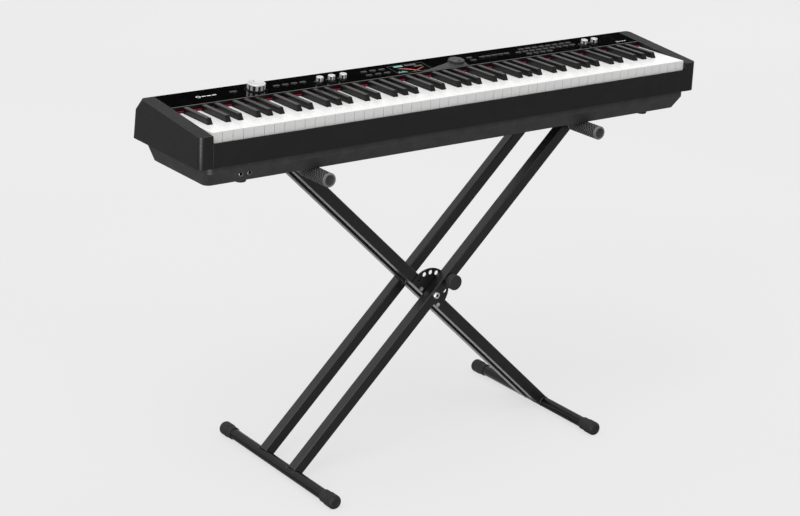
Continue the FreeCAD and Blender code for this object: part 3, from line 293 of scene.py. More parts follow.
# Greys are sRGB levels from 0 to 255: the darkest and the lightest that a look's noise reaches.
LOOKS = {
    "black_powder_coat": painted("powder_coat", 14, 20, rough=(0.3, 0.42), gloss=0.45),
    "black_rubber": rubbery("rubber", 24, 32, rib_highlight=130),
    "zinc_steel": metal("zinc", 200, 235, rough=(0.25, 0.42), metallic=0.8),
    "knob_plastic": moulded("plunger_plastic", 30, 38, rough=(0.45, 0.6), grain=1500, depth=0.00006,
                            Specular_IOR_Level=0.4),
    "case_plastic": moulded("case_grain", 14, 19, rough=(0.44, 0.58), grain=1400, depth=0.00009,
                            Specular_IOR_Level=0.28),
    "tray_plastic": moulded("tray_grain", 51, 61, rough=(0.5, 0.66), grain=1400, depth=0.00009,
                            Specular_IOR_Level=0.3),
    "panel_gloss": glossy("panel_black", 2, 6, rough=(0.03, 0.08)),
    # The trim's upward faces are painted lighter: painted light from above.
    "trim_plastic": top_lit_plastic("trim_grain_top_lit", side=18, top=92),
    "display_glass": glossy("display_smoke", 6, 12, rough=(0.02, 0.05)),
    "red_felt": felt_look(),
    "chassis_steel": metal("galvanised", 120, 165, rough=(0.3, 0.5), stretch=(1, 8, 1)),
    "circuit_board": circuit_look(),
    "speaker_black": moulded("cone_paper", 26, 38, rough=(0.75, 0.9), grain=700, depth=0.0002),
    "socket_metal": metal("nickel", 115, 150, rough=(0.3, 0.45)),
    "silver_knob": metal("satin_silver", 228, 242, rough=(0.32, 0.46), stretch=(1, 1, 9), metallic=0.72),
    "wheel_plastic": moulded("wheel_grain", 48, 60, rough=(0.36, 0.5), grain=1500, depth=0.00005),
    "button_plastic": moulded("button_grain", 40, 52, rough=(0.4, 0.55), grain=1500, depth=0.00005),
    # Painted light on key edges: edge=60 lightens the black keys' edges as a painted highlight; edge=150 darkens
    # the white keys' edges as painted shade at the gaps between keys.
    "black_keys": key_look("key_black", 10, 16, edge=60, rough=(0.3, 0.44), coat=0.2, gloss=0.15,
                           stretch=(5, 0.35, 5)),
    "white_keys": key_look("key_white", 234, 242, edge=150, rough=(0.24, 0.36), coat=0.3, gloss=0.5,
                           stretch=(4, 0.4, 4)),
}
# The feet's rubber: the grips' rubber with a dimmer painted highlight on its edges.
FOOT_RUBBER = rubbery("foot_rubber", 24, 32, rib_highlight=70)
# A darker copy of the legs' powder coat for the foot bars: painted shade.
SHADED_BAR_COAT = painted("bar_coat_shaded", 7, 11, rough=(0.2, 0.3), gloss=0.24)
SATIN_BLACK = moulded("satin_plate", 32, 42, rough=(0.34, 0.46), grain=1500, depth=0.00004)
# Painted shade for the pivot bolt's key recess.
RECESS_SHADE = metal("recess_painted_shade", 60, 88, rough=(0.3, 0.45))
PRINT = lit_look("panel_print", grey(120), grey(160), glow=0.0)
DIM_PRINT = lit_look("panel_print_dim", grey(80), grey(110), glow=0.0)
EMBLEM_WHITE = lit_look("emblem_white", grey(215), grey(235), glow=0.0)
TEAL = lit_look("display_teal", (0.10, 0.30, 0.28), (0.16, 0.40, 0.36), glow=0.35)
AMBER = lit_look("display_amber", (0.30, 0.045, 0.03), (0.50, 0.13, 0.09), glow=0.28)
PLUM = lit_look("display_plum", grey(50), (0.07, 0.04, 0.06), glow=0.3)


def dress(thing, slot):
    """Give a CAD node the look of its material slot."""
    thing.data.materials.clear()
    thing.data.materials.append(LOOKS[slot])


for part in frame["record"]["subparts"]:
    dress(NODES[part["node"]], part["material_slot"])
# The foot bars get the darker copy of the powder coat: painted shade.
for bar in ("outer_foot_bar", "inner_foot_bar"):
    NODES[bar].data.materials[0] = SHADED_BAR_COAT


# ---------------------------------------------------------------- mesh building

def piece(name, bm, material, body, smooth=30.0):
    """Turn bm into an object that rides on a CAD body. Edges that turn by more than smooth
    degrees are shaded sharp."""
    bmesh.ops.recalc_face_normals(bm, faces=bm.faces)
    mesh = bpy.data.meshes.new(name)
    bm.to_mesh(mesh)
    bm.free()
    mesh.materials.append(material)
    made = bpy.data.objects.new(name, mesh)
    SCENE.collection.objects.link(made)
    mesh.polygons.foreach_set("use_smooth", [True] * len(mesh.polygons))
    mesh.set_sharp_from_angle(angle=math.radians(smooth))
    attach(made, body)
    return made


def axes_for(direction):
    """Two unit vectors square to direction and to each other."""
    w = Vector(direction).normalized()
    u = w.orthogonal().normalized()
    return u, w.cross(u), w


def lathe(bm, profile, base, direction, segments, relief=None, floor=None):
    """Turn a closed profile of (along, radius) pairs round an axis. relief(angle, along, radius)
    moves a point outwards; floor flattens what would reach below that height."""
    u, v, w = axes_for(direction)
    rings = []
    for along, radius in profile:
        centre = Vector(base) + along * w
        if radius < 1e-6:
            rings.append([bm.verts.new(centre)])
            continue
        ring = []
        for k in range(segments):
            angle = TAU * k / segments
            r = radius + (relief(angle, along, radius) if relief else 0.0)
            point = centre + r * (math.cos(angle) * u + math.sin(angle) * v)
            if floor is not None:
                point.z = max(point.z, floor)
            ring.append(bm.verts.new(point))
        rings.append(ring)
    for low, high in zip(rings, rings[1:] + rings[:1]):
        if len(low) == 1 and len(high) == 1:
            continue
        for k in range(segments):
            corners = [low[k % len(low)], low[(k + 1) % len(low)],
                       high[(k + 1) % len(high)], high[k % len(high)]]
            kept = list(dict.fromkeys(corners))
            if len(kept) > 2:
                bm.faces.new(kept)


def skin(bm, rings):
    """Join rings of equal length into a closed tube with flat ends."""
    bm.faces.new(rings[0][::-1])
    bm.faces.new(rings[-1])
    for near, far in zip(rings, rings[1:]):
        for k in range(len(near)):
            after = (k + 1) % len(near)
            bm.faces.new([near[k], near[after], far[after], far[k]])


def slab(bm, outline, low, high, place):
    """Extrude an outline of (a, b) pairs between two heights; place(a, b, h) gives the point."""
    skin(bm, [[bm.verts.new(place(a, b, height)) for a, b in outline] for height in (low, high)])


def rounded_box(half_a, half_b, radius, steps=4):
    """The outline of a rectangle with round corners, about the origin."""
    outline = []
    for quarter, (sa, sb) in enumerate(((1, 1), (-1, 1), (-1, -1), (1, -1))):
        for k in range(steps + 1):
            angle = (quarter + k / steps) * math.pi / 2
            outline.append((sa * (half_a - radius) + radius * math.cos(angle),
                            sb * (half_b - radius) + radius * math.sin(angle)))
    return outline


def shifted(outline, da, db):
    """The same outline, moved."""
    return [(a + da, b + db) for a, b in outline]


# ---------------------------------------------------------------- stand

GRIP_LENGTH = 0.091
GRIP_BORE = 0.01205
GRIP_END_WALL = 0.0045
GRIP_RIBS = 11
GRIP_ROWS = 100
RIB_DEPTH = 0.0013


def grip(name, node, body):
    """Both rubber sleeves of a support arm, with the crossed ribs moulded on them."""
    low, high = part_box(node)
    radius = (high.z - low.z) / 2
    axis = Vector(((low.x + high.x) / 2, 0, (low.z + high.z) / 2))
    length, wall_end, bore = GRIP_LENGTH, GRIP_END_WALL, GRIP_BORE
    knurl_start, knurl_end = 0.003, length - 0.004

    def relief(angle, along, at_radius):
        if at_radius < radius - 0.0012 or not knurl_start < along < knurl_end:
            return 0.0
        edge = min(along - knurl_start, knurl_end - along) / 0.002
        travel = along / radius
        first = 0.5 + 0.5 * math.cos(GRIP_RIBS * (angle + travel))
        second = 0.5 + 0.5 * math.cos(GRIP_RIBS * (angle - travel))
        return -RIB_DEPTH * min(1.0, edge) * (1 - max(first, second) ** 6)

    inner_end = [(length - wall_end, 0.0), (length - wall_end, bore), (0.0, bore),
                 (0.0, radius - 0.0014), (0.0006, radius - 0.0004), (0.0014, radius)]
    ribbed = [(0.0015 + (length - 0.0035) * k / GRIP_ROWS, radius) for k in range(GRIP_ROWS + 1)]
    outer_end = [(length - 0.0012, radius - 0.0003), (length - 0.0004, radius - 0.0011),
                 (length, radius - 0.0026), (length, radius - 0.0040),
                 (length - 0.0009, radius - 0.0046), (length - 0.0009, 0.0)]
    bm = bmesh.new()
    for side in (-1, 1):
        outer = low.y if side < 0 else high.y
        base = Vector((axis.x, outer - side * length, axis.z))
        lathe(bm, inner_end + ribbed + outer_end, base, (0, side, 0),
              segments=108, relief=relief)
    mark_ribs(bm, axis, radius, (low.y, high.y))
    made = piece(name, bm, LOOKS["black_rubber"], body, smooth=60)
    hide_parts(node)


def mark_ribs(bm, axis, radius, ends):
    """Write how far each point stands out as "rib", for the painted highlight on the raised ribs, with fixed
    levels of painted highlight on the end rings and discs.
    """
    # Levels of painted highlight for the end rings and the end discs.
    ring_level, disc_level = 0.8, 0.5
    raised = bm.verts.layers.float.new("rib")
    for vertex in bm.verts:
        out = math.hypot(vertex.co.x - axis.x, vertex.co.z - axis.z)
        vertex[raised] = min(1.0, max(0.0, (out - radius + RIB_DEPTH) / RIB_DEPTH))
        if min(abs(vertex.co.y - end) for end in ends) < 0.0012:
            on_ring = radius - 0.0042 < out < radius - 0.0008
            vertex[raised] = ring_level if on_ring else disc_level


grip("outer_grip_sleeves", "outer_arm_grips", "outer_frame")
grip("inner_grip_sleeves", "inner_arm_grips", "inner_frame")

CAP_LENGTH = 0.045
CAP_BORE = 0.01232
CAP_FLUTES = 16
FLUTE_START, FLUTE_END = 0.019, 0.037
CAP_ROUND = 0.0076
FOOT_BAR_HEIGHT = 0.0145


def foot_caps(name, node, body):
    """Both rubber end caps of a foot bar: a collar, a groove and a fluted bulb with a flat sole."""
    low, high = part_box(node)
    centre_x = (low.x + high.x) / 2
    radius, length = (high.x - low.x) / 2, CAP_LENGTH

    def relief(angle, along, at_radius):
        if at_radius < radius - 0.0006 or not FLUTE_START < along < FLUTE_END:
            return 0.0
        fade = min(1.0, (along - FLUTE_START) / 0.003, (FLUTE_END - along) / 0.003)
        return -0.0005 * fade * (0.5 + 0.5 * math.cos(CAP_FLUTES * angle)) ** 2

    collar = [(length - 0.005, 0.0), (length - 0.005, CAP_BORE), (0.0, CAP_BORE), (0.0, 0.0130),
              (0.0006, 0.0137), (0.0018, 0.0142), (0.0110, 0.0143), (0.0124, 0.0141),
              (0.0132, 0.0136), (0.0146, 0.0135), (0.0158, 0.0140), (0.0172, radius - 0.0006)]
    bulb = [(0.0185 + 0.0009 * k, radius) for k in range(22)]
    for k in range(1, 11):
        turn = k / 10 * math.pi / 2
        bulb.append((0.0374 + CAP_ROUND * math.sin(turn), radius - CAP_ROUND * (1 - math.cos(turn))))
    tip = [(length, 0.0066), (length - 0.0008, 0.0060), (length - 0.0008, 0.0)]
    bm = bmesh.new()
    for side in (-1, 1):
        outer = low.y if side < 0 else high.y
        base = Vector((centre_x, outer - side * length, FOOT_BAR_HEIGHT))
        lathe(bm, collar + bulb + tip, base, (0, side, 0),
              segments=96, relief=relief, floor=0.0)
    made = piece(name, bm, FOOT_RUBBER, body, smooth=50)
    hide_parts(node)


foot_caps("outer_foot_rubbers", "outer_foot_caps", "outer_feet")
foot_caps("inner_foot_rubbers", "inner_foot_caps", "inner_feet")

WELD_STEPS, WELD_SIDES = 26, 8
WELD_REACH = math.radians(88)
WELD_RADIUS = 0.0016
WELD_TAPER = 0.35


def weld_run(bm, centre, radius, towards, y, rng):
    """One uneven bead round the side of a bar that faces a leg, at depth y."""
    depth = Vector((0, 1, 0))
    across = Vector((-towards.z, 0, towards.x))
    rings = []
    for i in range(WELD_STEPS + 1):
        angle = WELD_REACH * (2 * i / WELD_STEPS - 1)
        out = math.cos(angle) * towards + math.sin(angle) * across
        spot = Vector((centre.x, y, centre.z)) + out * radius
        thick = WELD_RADIUS * (1 + 0.18 * math.sin(2.4 * i) + 0.1 * rng.uniform(-1, 1))
        thick *= WELD_TAPER if i in (0, WELD_STEPS) else 1.0
        ring = []
        for k in range(WELD_SIDES):
            turn = TAU * k / WELD_SIDES
            ring.append(bm.verts.new(spot + thick * (math.cos(turn) * out + math.sin(turn) * depth)))
        rings.append(ring)
    skin(bm, rings)


def weld_beads(name, bars, legs, body):
    """Weld runs where the flat sides of the legs meet the round bars."""
    rng = random.Random(7)
    bm = bmesh.new()
    for bar in bars:
        low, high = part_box(bar)
        centre = (low + high) / 2
        radius = (high.z - low.z) / 2
        for leg in legs:
            leg_low, leg_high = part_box(leg)
            middle = (leg_low + leg_high) / 2
            towards = Vector((middle.x - centre.x, 0, middle.z - centre.z)).normalized()
            for y in (leg_low.y, leg_high.y):
                weld_run(bm, centre, radius, towards, y, rng)
    piece(name, bm, LOOKS["black_powder_coat"], body, smooth=70)


weld_beads("outer_welds", ("outer_foot_bar", "outer_support_arm"),
           ("outer_front_leg", "outer_rear_leg"), "outer_frame")
weld_beads("inner_welds", ("inner_foot_bar", "inner_support_arm"),
           ("inner_front_leg", "inner_rear_leg"), "inner_frame")

KEYWAY_RADIUS = 0.0037


def pivot_button():
    """Domed zinc head of the pivot bolt, with a flat dark hexagon on its face: painted shade where the hexagonal
    recess for the key would be dark.
    """
    low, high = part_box("pivot_bolt")
    pivot = Vector(JOINTS["stand_pivot"]["pos_m"])
    front = Vector((pivot.x, low.y, pivot.z))
    bm = bmesh.new()
    lathe(bm, [(-0.0034, 0.0058), (-0.0034, 0.0074), (-0.0026, 0.0075), (-0.0012, 0.0070),
               (-0.0002, 0.0062), (0.0004, 0.0051), (0.0006, 0.0042), (0.0004, 0.0038),
               (0.00002, 0.0038), (0.00002, 0.0058)], front, (0, -1, 0), segments=72)
    piece("pivot_bolt_button", bm, LOOKS["zinc_steel"], "outer_frame")
    bm = bmesh.new()
    # A flat dark hexagon: painted shade of the key recess.
    turns = [TAU * k / 6 for k in range(6)]
    hexagon = [(KEYWAY_RADIUS * math.cos(turn), KEYWAY_RADIUS * math.sin(turn)) for turn in turns]
    slab(bm, hexagon, -0.0001, 0.0002, lambda a, b, h: front + Vector((a, -h, b)))
    piece("pivot_bolt_recess_shade", bm, RECESS_SHADE, "outer_frame")


pivot_button()

# ---------------------------------------------------------------- control panel

NORMAL = Vector(JOINTS["volume_knob_turn"]["axis"]).normalized()
UPHILL = Vector((0, NORMAL.z, -NORMAL.y))
VOLUME = Vector(JOINTS["volume_knob_turn"]["pos_m"])
VOLUME_ALONG = 0.195  # the volume knob's place up the slope; other places count from the same line
SMALL_KNOBS = ("tone_knob_1", "tone_knob_2", "tone_knob_3", "level_knob_1", "level_knob_2")
BUTTON_GROUPS = ("power_button", "preset_buttons", "rhythm_buttons", "voice_buttons")
INK_BELOW = -0.00002
EMBLEM_SPOTS = ((-0.530, 0.198, 1.0), (0.561, 0.177, 0.62))


def on_panel(x, along, lift=0.0):
    """A point of the panel: x along the keyboard, along up the slope, lift off the surface."""
    return Vector((x, VOLUME.y, VOLUME.z)) + (along - VOLUME_ALONG) * UPHILL + lift * NORMAL


def along_of(point):
    """How far up the slope a point lies, in on_panel's terms."""
    return VOLUME_ALONG + (Vector(point) - VOLUME).dot(UPHILL)


def turned_knob(node, height, radius, fingers, neck, crown_start, rim, pointer_half):
    """A knob in three pieces: a metal crown whose fingers hang down over a dark plastic body,
    and a pointer let into its top."""
    base = Vector(JOINTS[node + "_turn"]["pos_m"])
    recess = radius - neck + 0.0006

    def between_fingers(angle, along, at_radius):
        if along > height - rim or at_radius < neck * 0.9:
            return 0.0
        gap = math.cos(fingers * angle)
        return -recess * min(1.0, max(0.0, (gap + 0.25) / 0.3))

    def flutes(angle, along, at_radius):
        return 0.0003 * math.cos(4 * fingers * angle) if at_radius > 0.004 else 0.0

    steps = 6
    span = height - rim - 0.0004 - crown_start - 0.0014
    crown = [(crown_start, 0.0), (crown_start, radius - 0.0014), (crown_start + 0.0004, radius - 0.0004),
             (crown_start + 0.0010, radius)]
    crown += [(crown_start + 0.0014 + span * k / steps, radius) for k in range(steps + 1)]
    crown += [(height - rim + 0.0001, radius), (height - 0.0008, radius),
              (height - 0.0002, radius - 0.0006), (height, radius - 0.0015),
              (height, radius * 0.74), (height - 0.0002, radius * 0.71), (height - 0.0002, 0.0)]
    bm = bmesh.new()
    lathe(bm, crown, base, NORMAL, segments=fingers * 14, relief=between_fingers)
    made = piece(node + "_crown", bm, LOOKS["silver_knob"], node, smooth=35)
    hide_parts(node)

    top = height - rim + 0.0002
    bm = bmesh.new()
    lathe(bm, [(-0.0028, 0.0), (-0.0028, 0.003), (0.0004, 0.003), (0.0004, neck + 0.0008),
               (0.0014, neck + 0.0008), (0.0019, neck), (top, neck), (top, 0.0)],
          base, NORMAL, segments=fingers * 12, relief=flutes)
    piece(node + "_body", bm, LOOKS["knob_plastic"], node, smooth=35)

    pointer = rounded_box(pointer_half, radius * 0.16, 0.0003)
    bm = bmesh.new()
    slab(bm, shifted(pointer, 0, radius * 0.52), height - 0.0003, height,
         lambda a, b, h: base + a * Vector((1, 0, 0)) + b * UPHILL + h * NORMAL)
    piece(node + "_pointer", bm, LOOKS["knob_plastic"], node)


turned_knob("volume_knob", height=0.0150, radius=0.0190, fingers=10, neck=0.0168,
            crown_start=0.0020, rim=0.0026, pointer_half=0.0007)
for small in SMALL_KNOBS:
    turned_knob(small, height=0.0146, radius=0.0075, fingers=6, neck=0.0052,
                crown_start=0.0046, rim=0.0020, pointer_half=0.0004)


def printed(name, marks, material, lift=0.00006):
    """Ink on the panel: marks are (outline, x, along) in the panel's own plane."""
    bm = bmesh.new()
    for outline, x, along in marks:
        slab(bm, shifted(outline, x, along), INK_BELOW, lift, on_panel)
    piece(name, bm, material, "piano_case")


def button_spots(node):
    """Each button of a node, in the panel's plane: its middle and half its depth."""
    bm = bmesh.new()
    bm.from_mesh(NODES[node].data)
    bmesh.ops.remove_doubles(bm, verts=bm.verts, dist=1e-5)
    left = set(bm.verts)
    spots = []
    while left:
        stack, group = [left.pop()], []
        while stack:
            vertex = stack.pop()
            group.append(vertex.co.copy())
            for edge in vertex.link_edges:
                other = edge.other_vert(vertex)
                if other in left:
                    left.remove(other)
                    stack.append(other)
        xs = [p.x for p in group]
        alongs = [along_of(p) for p in group]
        spots.append(((min(xs) + max(xs)) / 2, (min(alongs) + max(alongs)) / 2,
                      (max(alongs) - min(alongs)) / 2))
    bm.free()
    return sorted(spots)


def dial_ticks(dot, x, along, radius, count, step):
    """A ring of dots round a knob, from -60 degrees on, step degrees apart."""
    ticks = []
    for k in range(count):
        angle = math.radians(-60 + step * k)
        ticks.append((dot, x + radius * math.cos(angle), along + radius * math.sin(angle)))
    return ticks


def panel_print():
    """Print by the buttons and knobs: plain strokes in place of words, and the dials' dots."""
    rng = random.Random(11)
    stroke, fine_stroke, corner = 0.0005, 0.0004, 0.0003
    small_dot = rounded_box(0.00035, 0.00035, corner)
    volume_dot = rounded_box(0.0005, 0.0005, 0.0004)
    labels, sublabels = [], []
    for node in BUTTON_GROUPS:
        for x, along, half_along in button_spots(node):
            width = 0.0028 + 0.0022 * rng.random()
            labels.append((rounded_box(width, stroke, corner), x, along + half_along + 0.0026))
            sublabels.append((rounded_box(width * 0.6, fine_stroke, corner), x,
                              along - half_along - 0.0022))
    for node in SMALL_KNOBS:
        spot = JOINTS[node + "_turn"]["pos_m"]
        sublabels += dial_ticks(small_dot, spot[0], along_of(spot), radius=0.0098, count=11, step=30)
        labels.append((rounded_box(0.0045, stroke, corner), spot[0], along_of(spot) + 0.0135))
    sublabels += dial_ticks(volume_dot, VOLUME.x, VOLUME_ALONG, radius=0.0232, count=16, step=20)
    printed("button_labels", labels, PRINT)
    printed("button_sublabels", sublabels, DIM_PRINT)


def emblems():
    """A plain mark at each end in place of a name: a ring in two halves, and three bars."""
    steps, outer, inner, lift = 40, 0.0052, 0.0033, 0.00008
    ring = [(math.cos(TAU * k / steps), math.sin(TAU * k / steps)) for k in range(steps)]
    halves = (ring[:steps // 2 + 1], ring[steps // 2:] + ring[:1])
    bm = bmesh.new()
    for x, along, size in EMBLEM_SPOTS:
        for arc in halves:
            outline = [(x + outer * size * a, along + outer * size * b) for a, b in arc]
            outline += [(x + inner * size * a, along + inner * size * b) for a, b in reversed(arc)]
            slab(bm, outline, INK_BELOW, lift, on_panel)
        bar = rounded_box(0.0050 * size, 0.0017 * size, 0.0007 * size)
        for k in range(3):
            slab(bm, shifted(bar, x + (0.0125 + 0.0122 * k) * size, along), INK_BELOW, lift, on_panel)
    piece("panel_emblems", bm, EMBLEM_WHITE, "piano_case")


def wheel_plate():
    """The satin plate that widens from the display to the data wheel."""
    wheel = Vector(JOINTS["data_wheel_turn"]["pos_m"])
    wheel_along = along_of(wheel)
    plate_radius, shoulder = 0.0190, 0.1860
    edge = along_of(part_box("panel_trim")[1]) + 0.0006
    turns = [math.radians(degrees) for degrees in range(-20, 171, 10)]
    outline = [(-0.004, edge), (0.124, edge), (0.1285, shoulder)]
    outline += [(wheel.x + plate_radius * math.cos(turn), wheel_along + plate_radius * math.sin(turn))
                for turn in turns]
    outline += [(0.063, shoulder), (0.035, 0.1767)]
    bm = bmesh.new()
    slab(bm, outline, INK_BELOW, 0.00016, on_panel)
    piece("wheel_plate", bm, SATIN_BLACK, "piano_case")


def ribbon(points, widths):
    """An outline of changing width along a line of points."""
    left, right = [], []
    for k, (x, y) in enumerate(points):
        ax, ay = points[max(k - 1, 0)]
        bx, by = points[min(k + 1, len(points) - 1)]
        length = math.hypot(bx - ax, by - ay)
        nx, ny = (ay - by) / length, (bx - ax) / length
        left.append((x + nx * widths[k], y + ny * widths[k]))
        right.append((x - nx * widths[k], y - ny * widths[k]))
    return left + right[::-1]


def display_picture():
    """What the display shows: a frame, a plain reading with a meter, two fields and two curves,
    each placed from the middle of the display."""
    low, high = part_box("display_window")
    mid_x, mid_along = (low.x + high.x) / 2, along_of((low + high) / 2)

    def screen(name, shapes, material):
        placed = [(outline, mid_x + x, mid_along + along) for outline, x, along in shapes]
        printed(name, placed, material, 0.00005)

    line = 0.0003
    screen("screen_frame", [(rounded_box(0.0455, line, 0.0002), 0, 0.0223),
                            (rounded_box(0.0455, line, 0.0002), 0, -0.0223),
                            (rounded_box(line, 0.0223, 0.0002), -0.0452, 0),
                            (rounded_box(line, 0.0223, 0.0002), 0.0452, 0)], DIM_PRINT)
    meter = [(rounded_box(0.0012, 0.0010 + 0.0006 * h, 0.0003), -0.0400 + 0.0040 * k, -0.0180 + 0.0006 * h)
             for k, h in enumerate((3, 5, 2, 6, 4, 1))]
    screen("screen_reading", [(rounded_box(0.0115, 0.0040, 0.0012), -0.0200, 0.0165)] + meter, TEAL)
    screen("screen_field", [(rounded_box(0.0150, 0.0036, 0.0012), 0.0120, 0.0170),
                            (rounded_box(0.0110, 0.0030, 0.0010), 0.0260, 0.0070)], PLUM)
    turns = [k / 24 for k in range(25)]
    falling = ribbon([(-0.0300 + 0.0430 * t, 0.0040 - 0.0260 * t ** 1.7) for t in turns],
                     [0.0004 + 0.0022 * math.sin(math.pi * t) for t in turns])
    rising = ribbon([(-0.0060 + 0.0420 * t, -0.0205 + 0.0190 * t) for t in turns],
                    [0.0003 + 0.0007 * math.sin(math.pi * t) for t in turns])
    screen("screen_curves", [(falling, 0, 0), (rising, 0, 0)], AMBER)


panel_print()
emblems()
wheel_plate()
display_picture()

# ---------------------------------------------------------------- case details


def felt_strip():
    """The red felt behind the keys, slightly uneven as cut felt is."""
    low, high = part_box("red_felt")
    rng = random.Random(3)
    steps = 520
    middle_y, middle_z = (low.y + high.y) / 2, (low.z + high.z) / 2
    section = [(a + middle_y, b + middle_z)
               for a, b in rounded_box((high.y - low.y) / 2, (high.z - low.z) / 2, 0.0006, 3)]
    bm = bmesh.new()
    rings = []
    for i in range(steps + 1):
        x = low.x + (high.x - low.x) * i / steps
        ring = []
        for a, b in section:
            y = a + rng.uniform(-0.00012, 0.00012)
            z = b + rng.uniform(-0.00010, 0.00010)
            ring.append(bm.verts.new((x, y, z)))
        rings.append(ring)
    skin(bm, rings)
    felt = piece("felt_strip", bm, LOOKS["red_felt"], "piano_case", smooth=60)
    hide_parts("red_felt")


def socket_collars():
    """Nickel collars round the sockets' bores, two in front and four behind."""
    bm = bmesh.new()
    for mount in frame["record"]["mounts"]:
        if mount["kind"] != "bore":
            continue
        axis = Vector(mount["axis"])
        mouth = Vector(mount["pos_m"]) + axis * mount["dims"]["length_mm"] / 2000
        lathe(bm, [(-0.0030, 0.0033), (0.0003, 0.0033), (0.0007, 0.0035), (0.0007, 0.0041),
                   (0.0003, 0.0045), (-0.0030, 0.0045)], mouth, axis, segments=40)
    piece("socket_collars", bm, LOOKS["socket_metal"], "piano_case", smooth=40)


felt_strip()
socket_collars()

# ---------------------------------------------------------------- soft edges on CAD nodes


def soften(names, width, segments):
    """A small round on the sharp edges of CAD nodes."""
    for name in names:
        thing = NODES[name]
        weld = thing.modifiers.new("weld", "WELD")
        weld.merge_threshold = 1e-5
        bevel = thing.modifiers.new("round", "BEVEL")
        bevel.width = width
        bevel.segments = segments
        bevel.limit_method = "ANGLE"
        bevel.angle_limit = math.radians(35)
        bevel.harden_normals = True


soften(("left_end_block", "right_end_block", "front_rail"), width=0.0012, segments=3)
soften(("panel_trim", "control_panel"), width=0.0003, segments=2)

# ---------------------------------------------------------------- floor, light and camera


def studio_floor():
    """A pale floor that glows a little: as bright as the backdrop to the camera, dim to the object."""
    bm = bmesh.new()
    bmesh.ops.create_grid(bm, x_segments=2, y_segments=2, size=60)
    mesh = bpy.data.meshes.new("floor")
    bm.to_mesh(mesh)
    bm.free()
    floor = bpy.data.objects.new("floor", mesh)
    SCENE.collection.objects.link(floor)
    floor.location.z = -0.0002
    look = Look("floor_paint", Roughness=0.9, Specular_IOR_Level=0.0, Emission_Color=(1, 1, 1, 1))
    look.colour(look.noise(0.6, 1), (0.145, 0.145, 0.147), (0.155, 0.155, 0.157))
    glow = look.node("ShaderNodeMapRange", To_Min=0.2, To_Max=0.65)
    look.link(look.node("ShaderNodeLightPath").outputs["Is Camera Ray"], glow.inputs["Value"])
    look.link(glow.outputs["Result"], look.shader.inputs["Emission Strength"])
    mesh.materials.append(look.material)


def studio_world():
    """A soft room, brighter behind the object than in front, with a dark card where the gloss
    panel would mirror it. The camera sees an even pale backdrop instead."""
    world = bpy.data.worlds.new("studio")
    SCENE.world = world
    world.use_nodes = True
    tree = world.node_tree

    def node(kind, **inputs):
        made = tree.nodes.new("ShaderNode" + kind)
        for socket, number in inputs.items():
            made.inputs[socket.replace("_", " ")].default_value = number
        return made

    def band(source, low, high, blur):
        """1 while source lies between low and high, fading to 0 over blur outside."""
        rise = node("MapRange", From_Min=low - blur, From_Max=low)
        fall = node("MapRange", From_Min=high + blur, From_Max=high)
        tree.links.new(source, rise.inputs["Value"])
        tree.links.new(source, fall.inputs["Value"])
        return product(rise.outputs["Result"], fall.outputs["Result"])

    def product(first, second):
        made = node("Math")
        made.operation = "MULTIPLY"
        tree.links.new(first, made.inputs[0])
        tree.links.new(second, made.inputs[1])
        return made.outputs[0]

    across_card = (0.78, -0.63, 0)
    direction = node("TexCoord").outputs["Generated"]
    split = node("SeparateXYZ")
    tree.links.new(direction, split.inputs[0])
    side = node("VectorMath")
    side.operation = "DOT_PRODUCT"
    side.inputs[1].default_value = across_card
    tree.links.new(direction, side.inputs[0])
    card = product(band(side.outputs["Value"], low=-0.26, high=0.26, blur=0.06),
                   band(split.outputs["Z"], low=0.335, high=0.50, blur=0.02))
    card = product(card, band(split.outputs["Y"], low=0.45, high=2.0, blur=0.05))

    depth = node("MapRange", From_Min=-0.3, From_Max=0.5, To_Min=0.66, To_Max=1.0)
    tree.links.new(split.outputs["Y"], depth.inputs["Value"])
    level = node("MapRange", To_Max=0.01)
    tree.links.new(card, level.inputs["Value"])
    tree.links.new(depth.outputs["Result"], level.inputs["To Min"])
    room = tree.nodes["Background"]
    room.inputs["Color"].default_value = (1, 1, 1, 1)
    tree.links.new(level.outputs["Result"], room.inputs["Strength"])

    backdrop = node("Background", Color=(0.83, 0.83, 0.83, 1))
    mix = node("MixShader")
    tree.links.new(node("LightPath").outputs["Is Camera Ray"], mix.inputs[0])
    tree.links.new(room.outputs[0], mix.inputs[1])
    tree.links.new(backdrop.outputs[0], mix.inputs[2])
    tree.links.new(mix.outputs[0], tree.nodes["World Output"].inputs["Surface"])


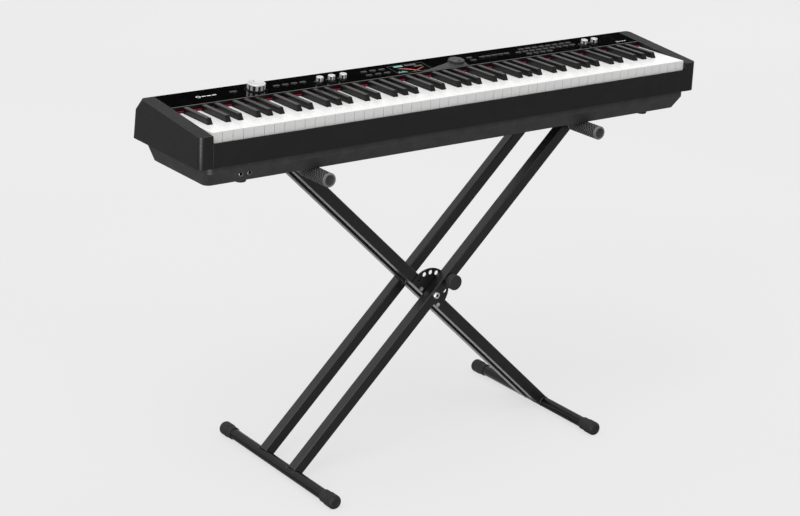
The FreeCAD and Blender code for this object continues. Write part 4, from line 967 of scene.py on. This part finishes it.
def lamp(name, kind, energy, place, aim, gloss_only=False, **shape):
    """A lamp that the camera doesn't see; gloss_only gives reflections and no diffuse light."""
    data = bpy.data.lights.new(name, kind)
    data.energy = energy
    for key, number in shape.items():
        setattr(data, key, number)
    thing = bpy.data.objects.new(name, data)
    thing.location = place
    thing.rotation_mode = "QUATERNION"
    thing.rotation_quaternion = (Vector(aim) - Vector(place)).to_track_quat("-Z", "Y")
    thing.visible_camera = False
    thing.visible_diffuse = not gloss_only
    SCENE.collection.objects.link(thing)


def studio_lights():
    """A broad overhead light, and two lamps for the sheen of the case's corner and the legs."""
    lamp("overhead", "SUN", 1.72, place=(-1.3, -1.1, 3.5), aim=(0, 0, 0.4), angle=math.radians(50))
    lamp("corner_strip", "AREA", 150, place=(-2.6, -2.3, 0.3), aim=(-0.62, -0.14, 0.79),
         gloss_only=True, shape="RECTANGLE", size=0.35, size_y=0.6)
    lamp("floor_bounce", "AREA", 1.3, place=(0.2, 0.55, 0.002), aim=(0.2, 0.55, 1),
         gloss_only=True, shape="RECTANGLE", size=0.6, size_y=1.1)
    SCENE.view_settings.view_transform = "Standard"


def camera(place, yaw, pitch, roll, focal_length):
    """A camera at place that looks yaw radians from +Y towards +X and pitch radians up."""
    forward = Vector((math.sin(yaw) * math.cos(pitch), math.cos(yaw) * math.cos(pitch), math.sin(pitch)))
    level = Vector((math.cos(yaw), -math.sin(yaw), 0))
    upright = level.cross(forward)
    right = math.cos(roll) * level + math.sin(roll) * upright
    up = -math.sin(roll) * level + math.cos(roll) * upright
    lens = bpy.data.cameras.new("camera")
    lens.lens = focal_length
    lens.sensor_width = 36
    turn = Matrix((right, up, -forward)).transposed().to_4x4()
    thing = bpy.data.objects.new("camera", lens)
    thing.matrix_world = Matrix.Translation(place) @ turn
    SCENE.collection.objects.link(thing)
    SCENE.camera = thing


studio_floor()
studio_world()
studio_lights()
camera(place=(-2.5009, -3.3129, 1.8897), yaw=0.63694, pitch=-0.34025, roll=0.03878, focal_length=90.57)
